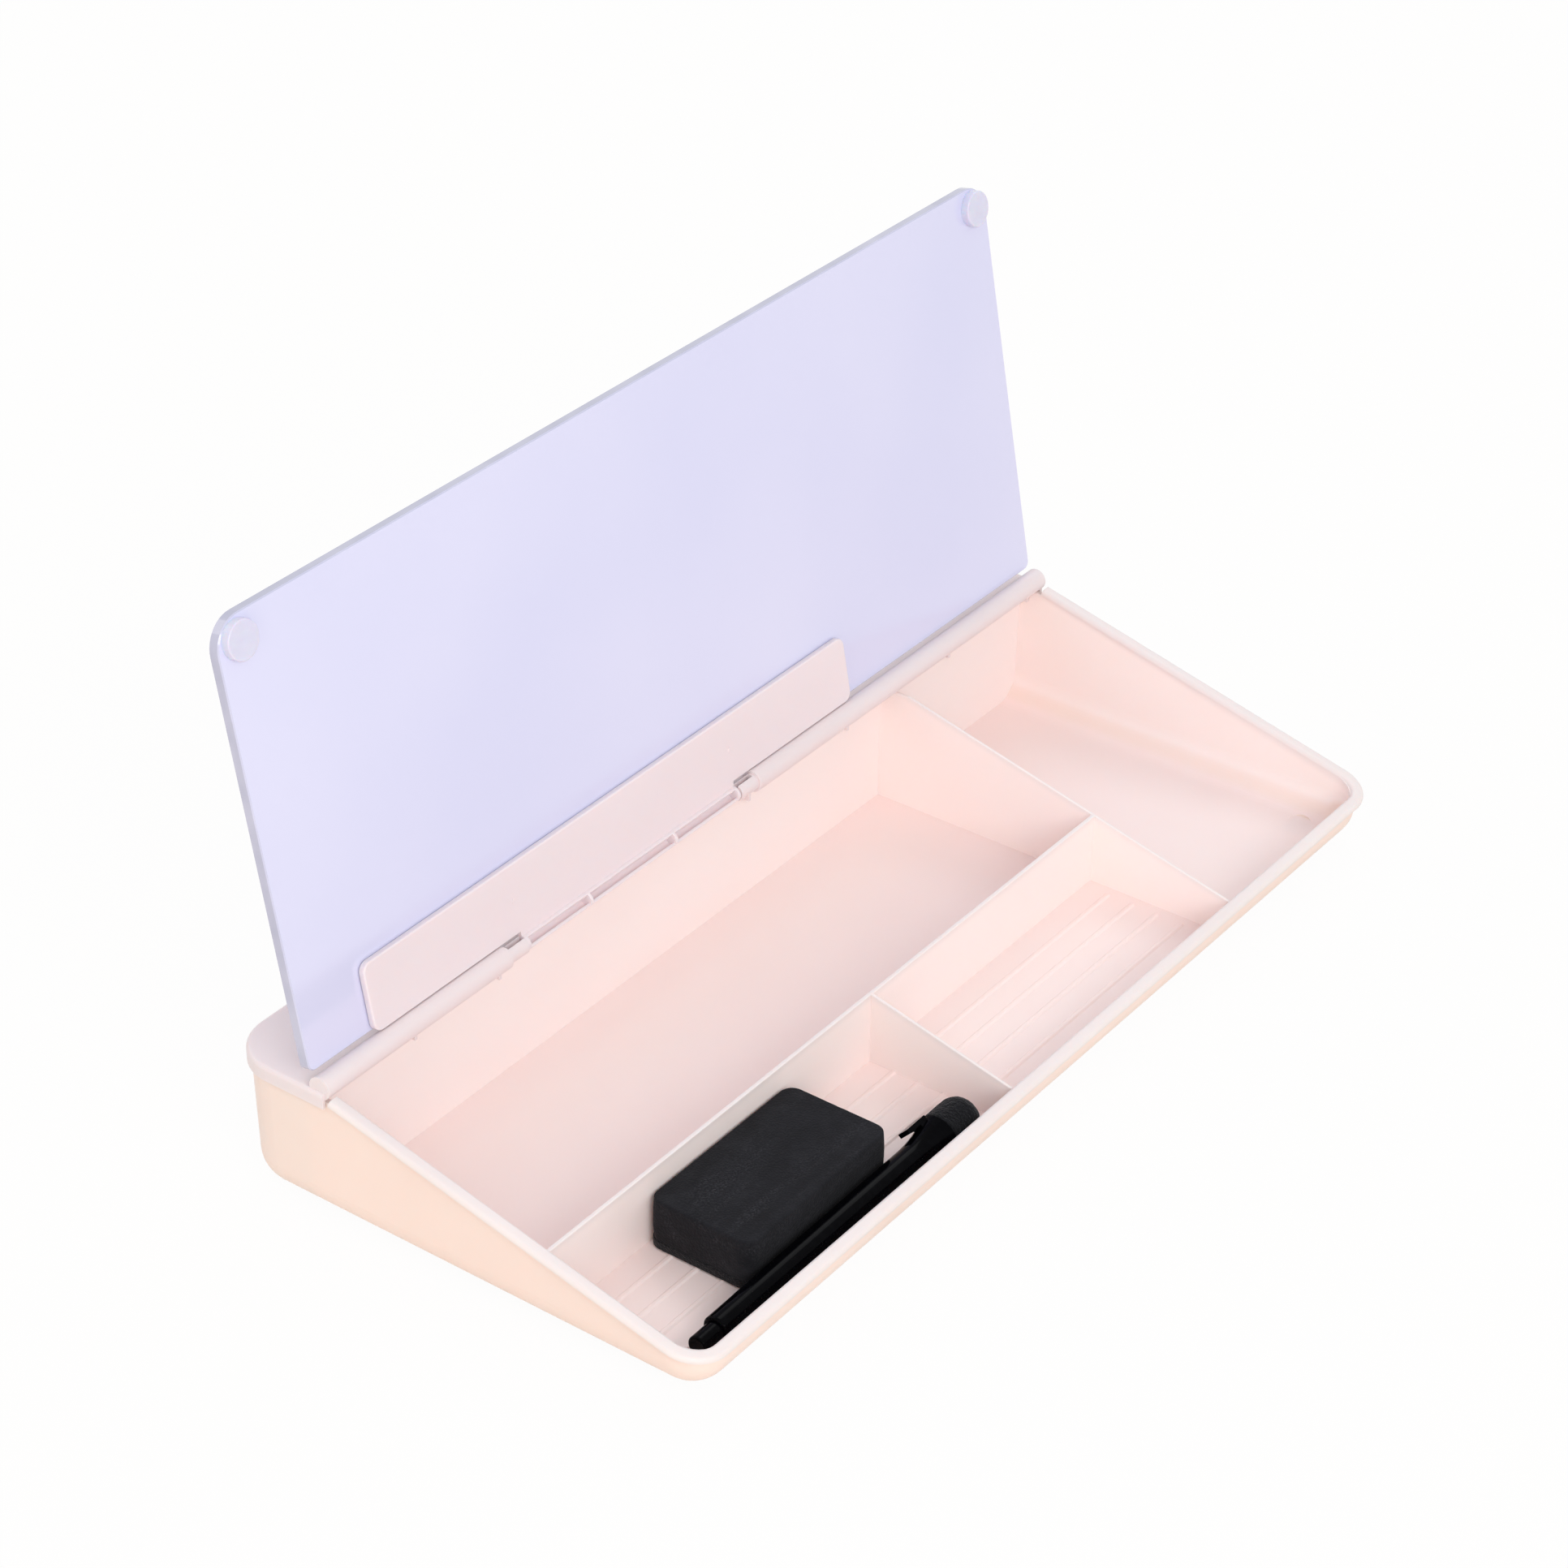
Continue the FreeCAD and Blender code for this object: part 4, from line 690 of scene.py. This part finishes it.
world = bpy.data.worlds.new("studio")
scene.world = world
world.use_nodes = True
tree = world.node_tree
tree.nodes.clear()
world_output = tree.nodes.new("ShaderNodeOutputWorld")
dome = tree.nodes.new("ShaderNodeBackground")
dome.inputs["Color"].default_value = DOME_TINT
dome.inputs["Strength"].default_value = DOME_STRENGTH
white = tree.nodes.new("ShaderNodeBackground")
white.inputs["Color"].default_value = WHITE
white.inputs["Strength"].default_value = 1.0
choose_shader(tree, seen_directly(tree), dome, white, world_output)

floor_mesh = bpy.data.meshes.new("floor")
maker = bmesh.new()
bmesh.ops.create_grid(maker, x_segments=1, y_segments=1, size=FLOOR_HALF)
maker.to_mesh(floor_mesh)
maker.free()
floor = bpy.data.objects.new("floor", floor_mesh)
scene.collection.objects.link(floor)
floor_material = bpy.data.materials.new("floor")
floor_material.use_nodes = True
tree = floor_material.node_tree
tree.nodes.clear()
floor_output = tree.nodes.new("ShaderNodeOutputMaterial")
matte = tree.nodes.new("ShaderNodeBsdfDiffuse")
matte.inputs["Color"].default_value = FLOOR_TINT
glow = tree.nodes.new("ShaderNodeEmission")
glow.inputs["Color"].default_value = WHITE
glow.inputs["Strength"].default_value = 1.0
white_share = tree.nodes.new("ShaderNodeMath")
white_share.operation = "MULTIPLY"
white_share.inputs[1].default_value = FLOOR_WHITE_SHARE
tree.links.new(seen_directly(tree), white_share.inputs[0])
choose_shader(tree, white_share.outputs["Value"], matte, glow, floor_output)
floor_mesh.materials.append(floor_material)


# Soft boxes: a key at the front left, a fill at the upper right rear,
# a warm one low on the left and a weak one behind
def soft_box(name, place, aim, width, height, power, tint):
    data = bpy.data.lights.new(name, "AREA")
    data.shape = "RECTANGLE"
    data.size = width
    data.size_y = height
    data.energy = power
    data.color = tint
    lamp = bpy.data.objects.new(name, data)
    lamp.location = place
    lamp.rotation_mode = "QUATERNION"
    lamp.rotation_quaternion = (Vector(aim) - Vector(place)).to_track_quat("-Z", "Y")
    scene.collection.objects.link(lamp)


soft_box(
    "key", place=(-1.1, -1.7, 1.3), aim=(0.0, 0.0, 0.05),
    width=1.4, height=1.0, power=21.5, tint=(0.97, 0.99, 1.0),
)
soft_box(
    "fill", place=(1.3, 0.5, 1.6), aim=(-0.1, -0.08, 0.01),
    width=0.8, height=0.8, power=5.0, tint=(0.97, 0.985, 1.0),
)
soft_box(
    "side", place=(-2.0, -0.4, 0.35), aim=(-0.2, 0.0, 0.03),
    width=1.4, height=0.6, power=4.2, tint=(1.0, 0.92, 0.8),
)
soft_box(
    "rear", place=(-0.6, 1.8, 1.2), aim=(0.0, 0.08, 0.05),
    width=1.2, height=0.8, power=4.0, tint=(1.0, 0.94, 0.93),
)
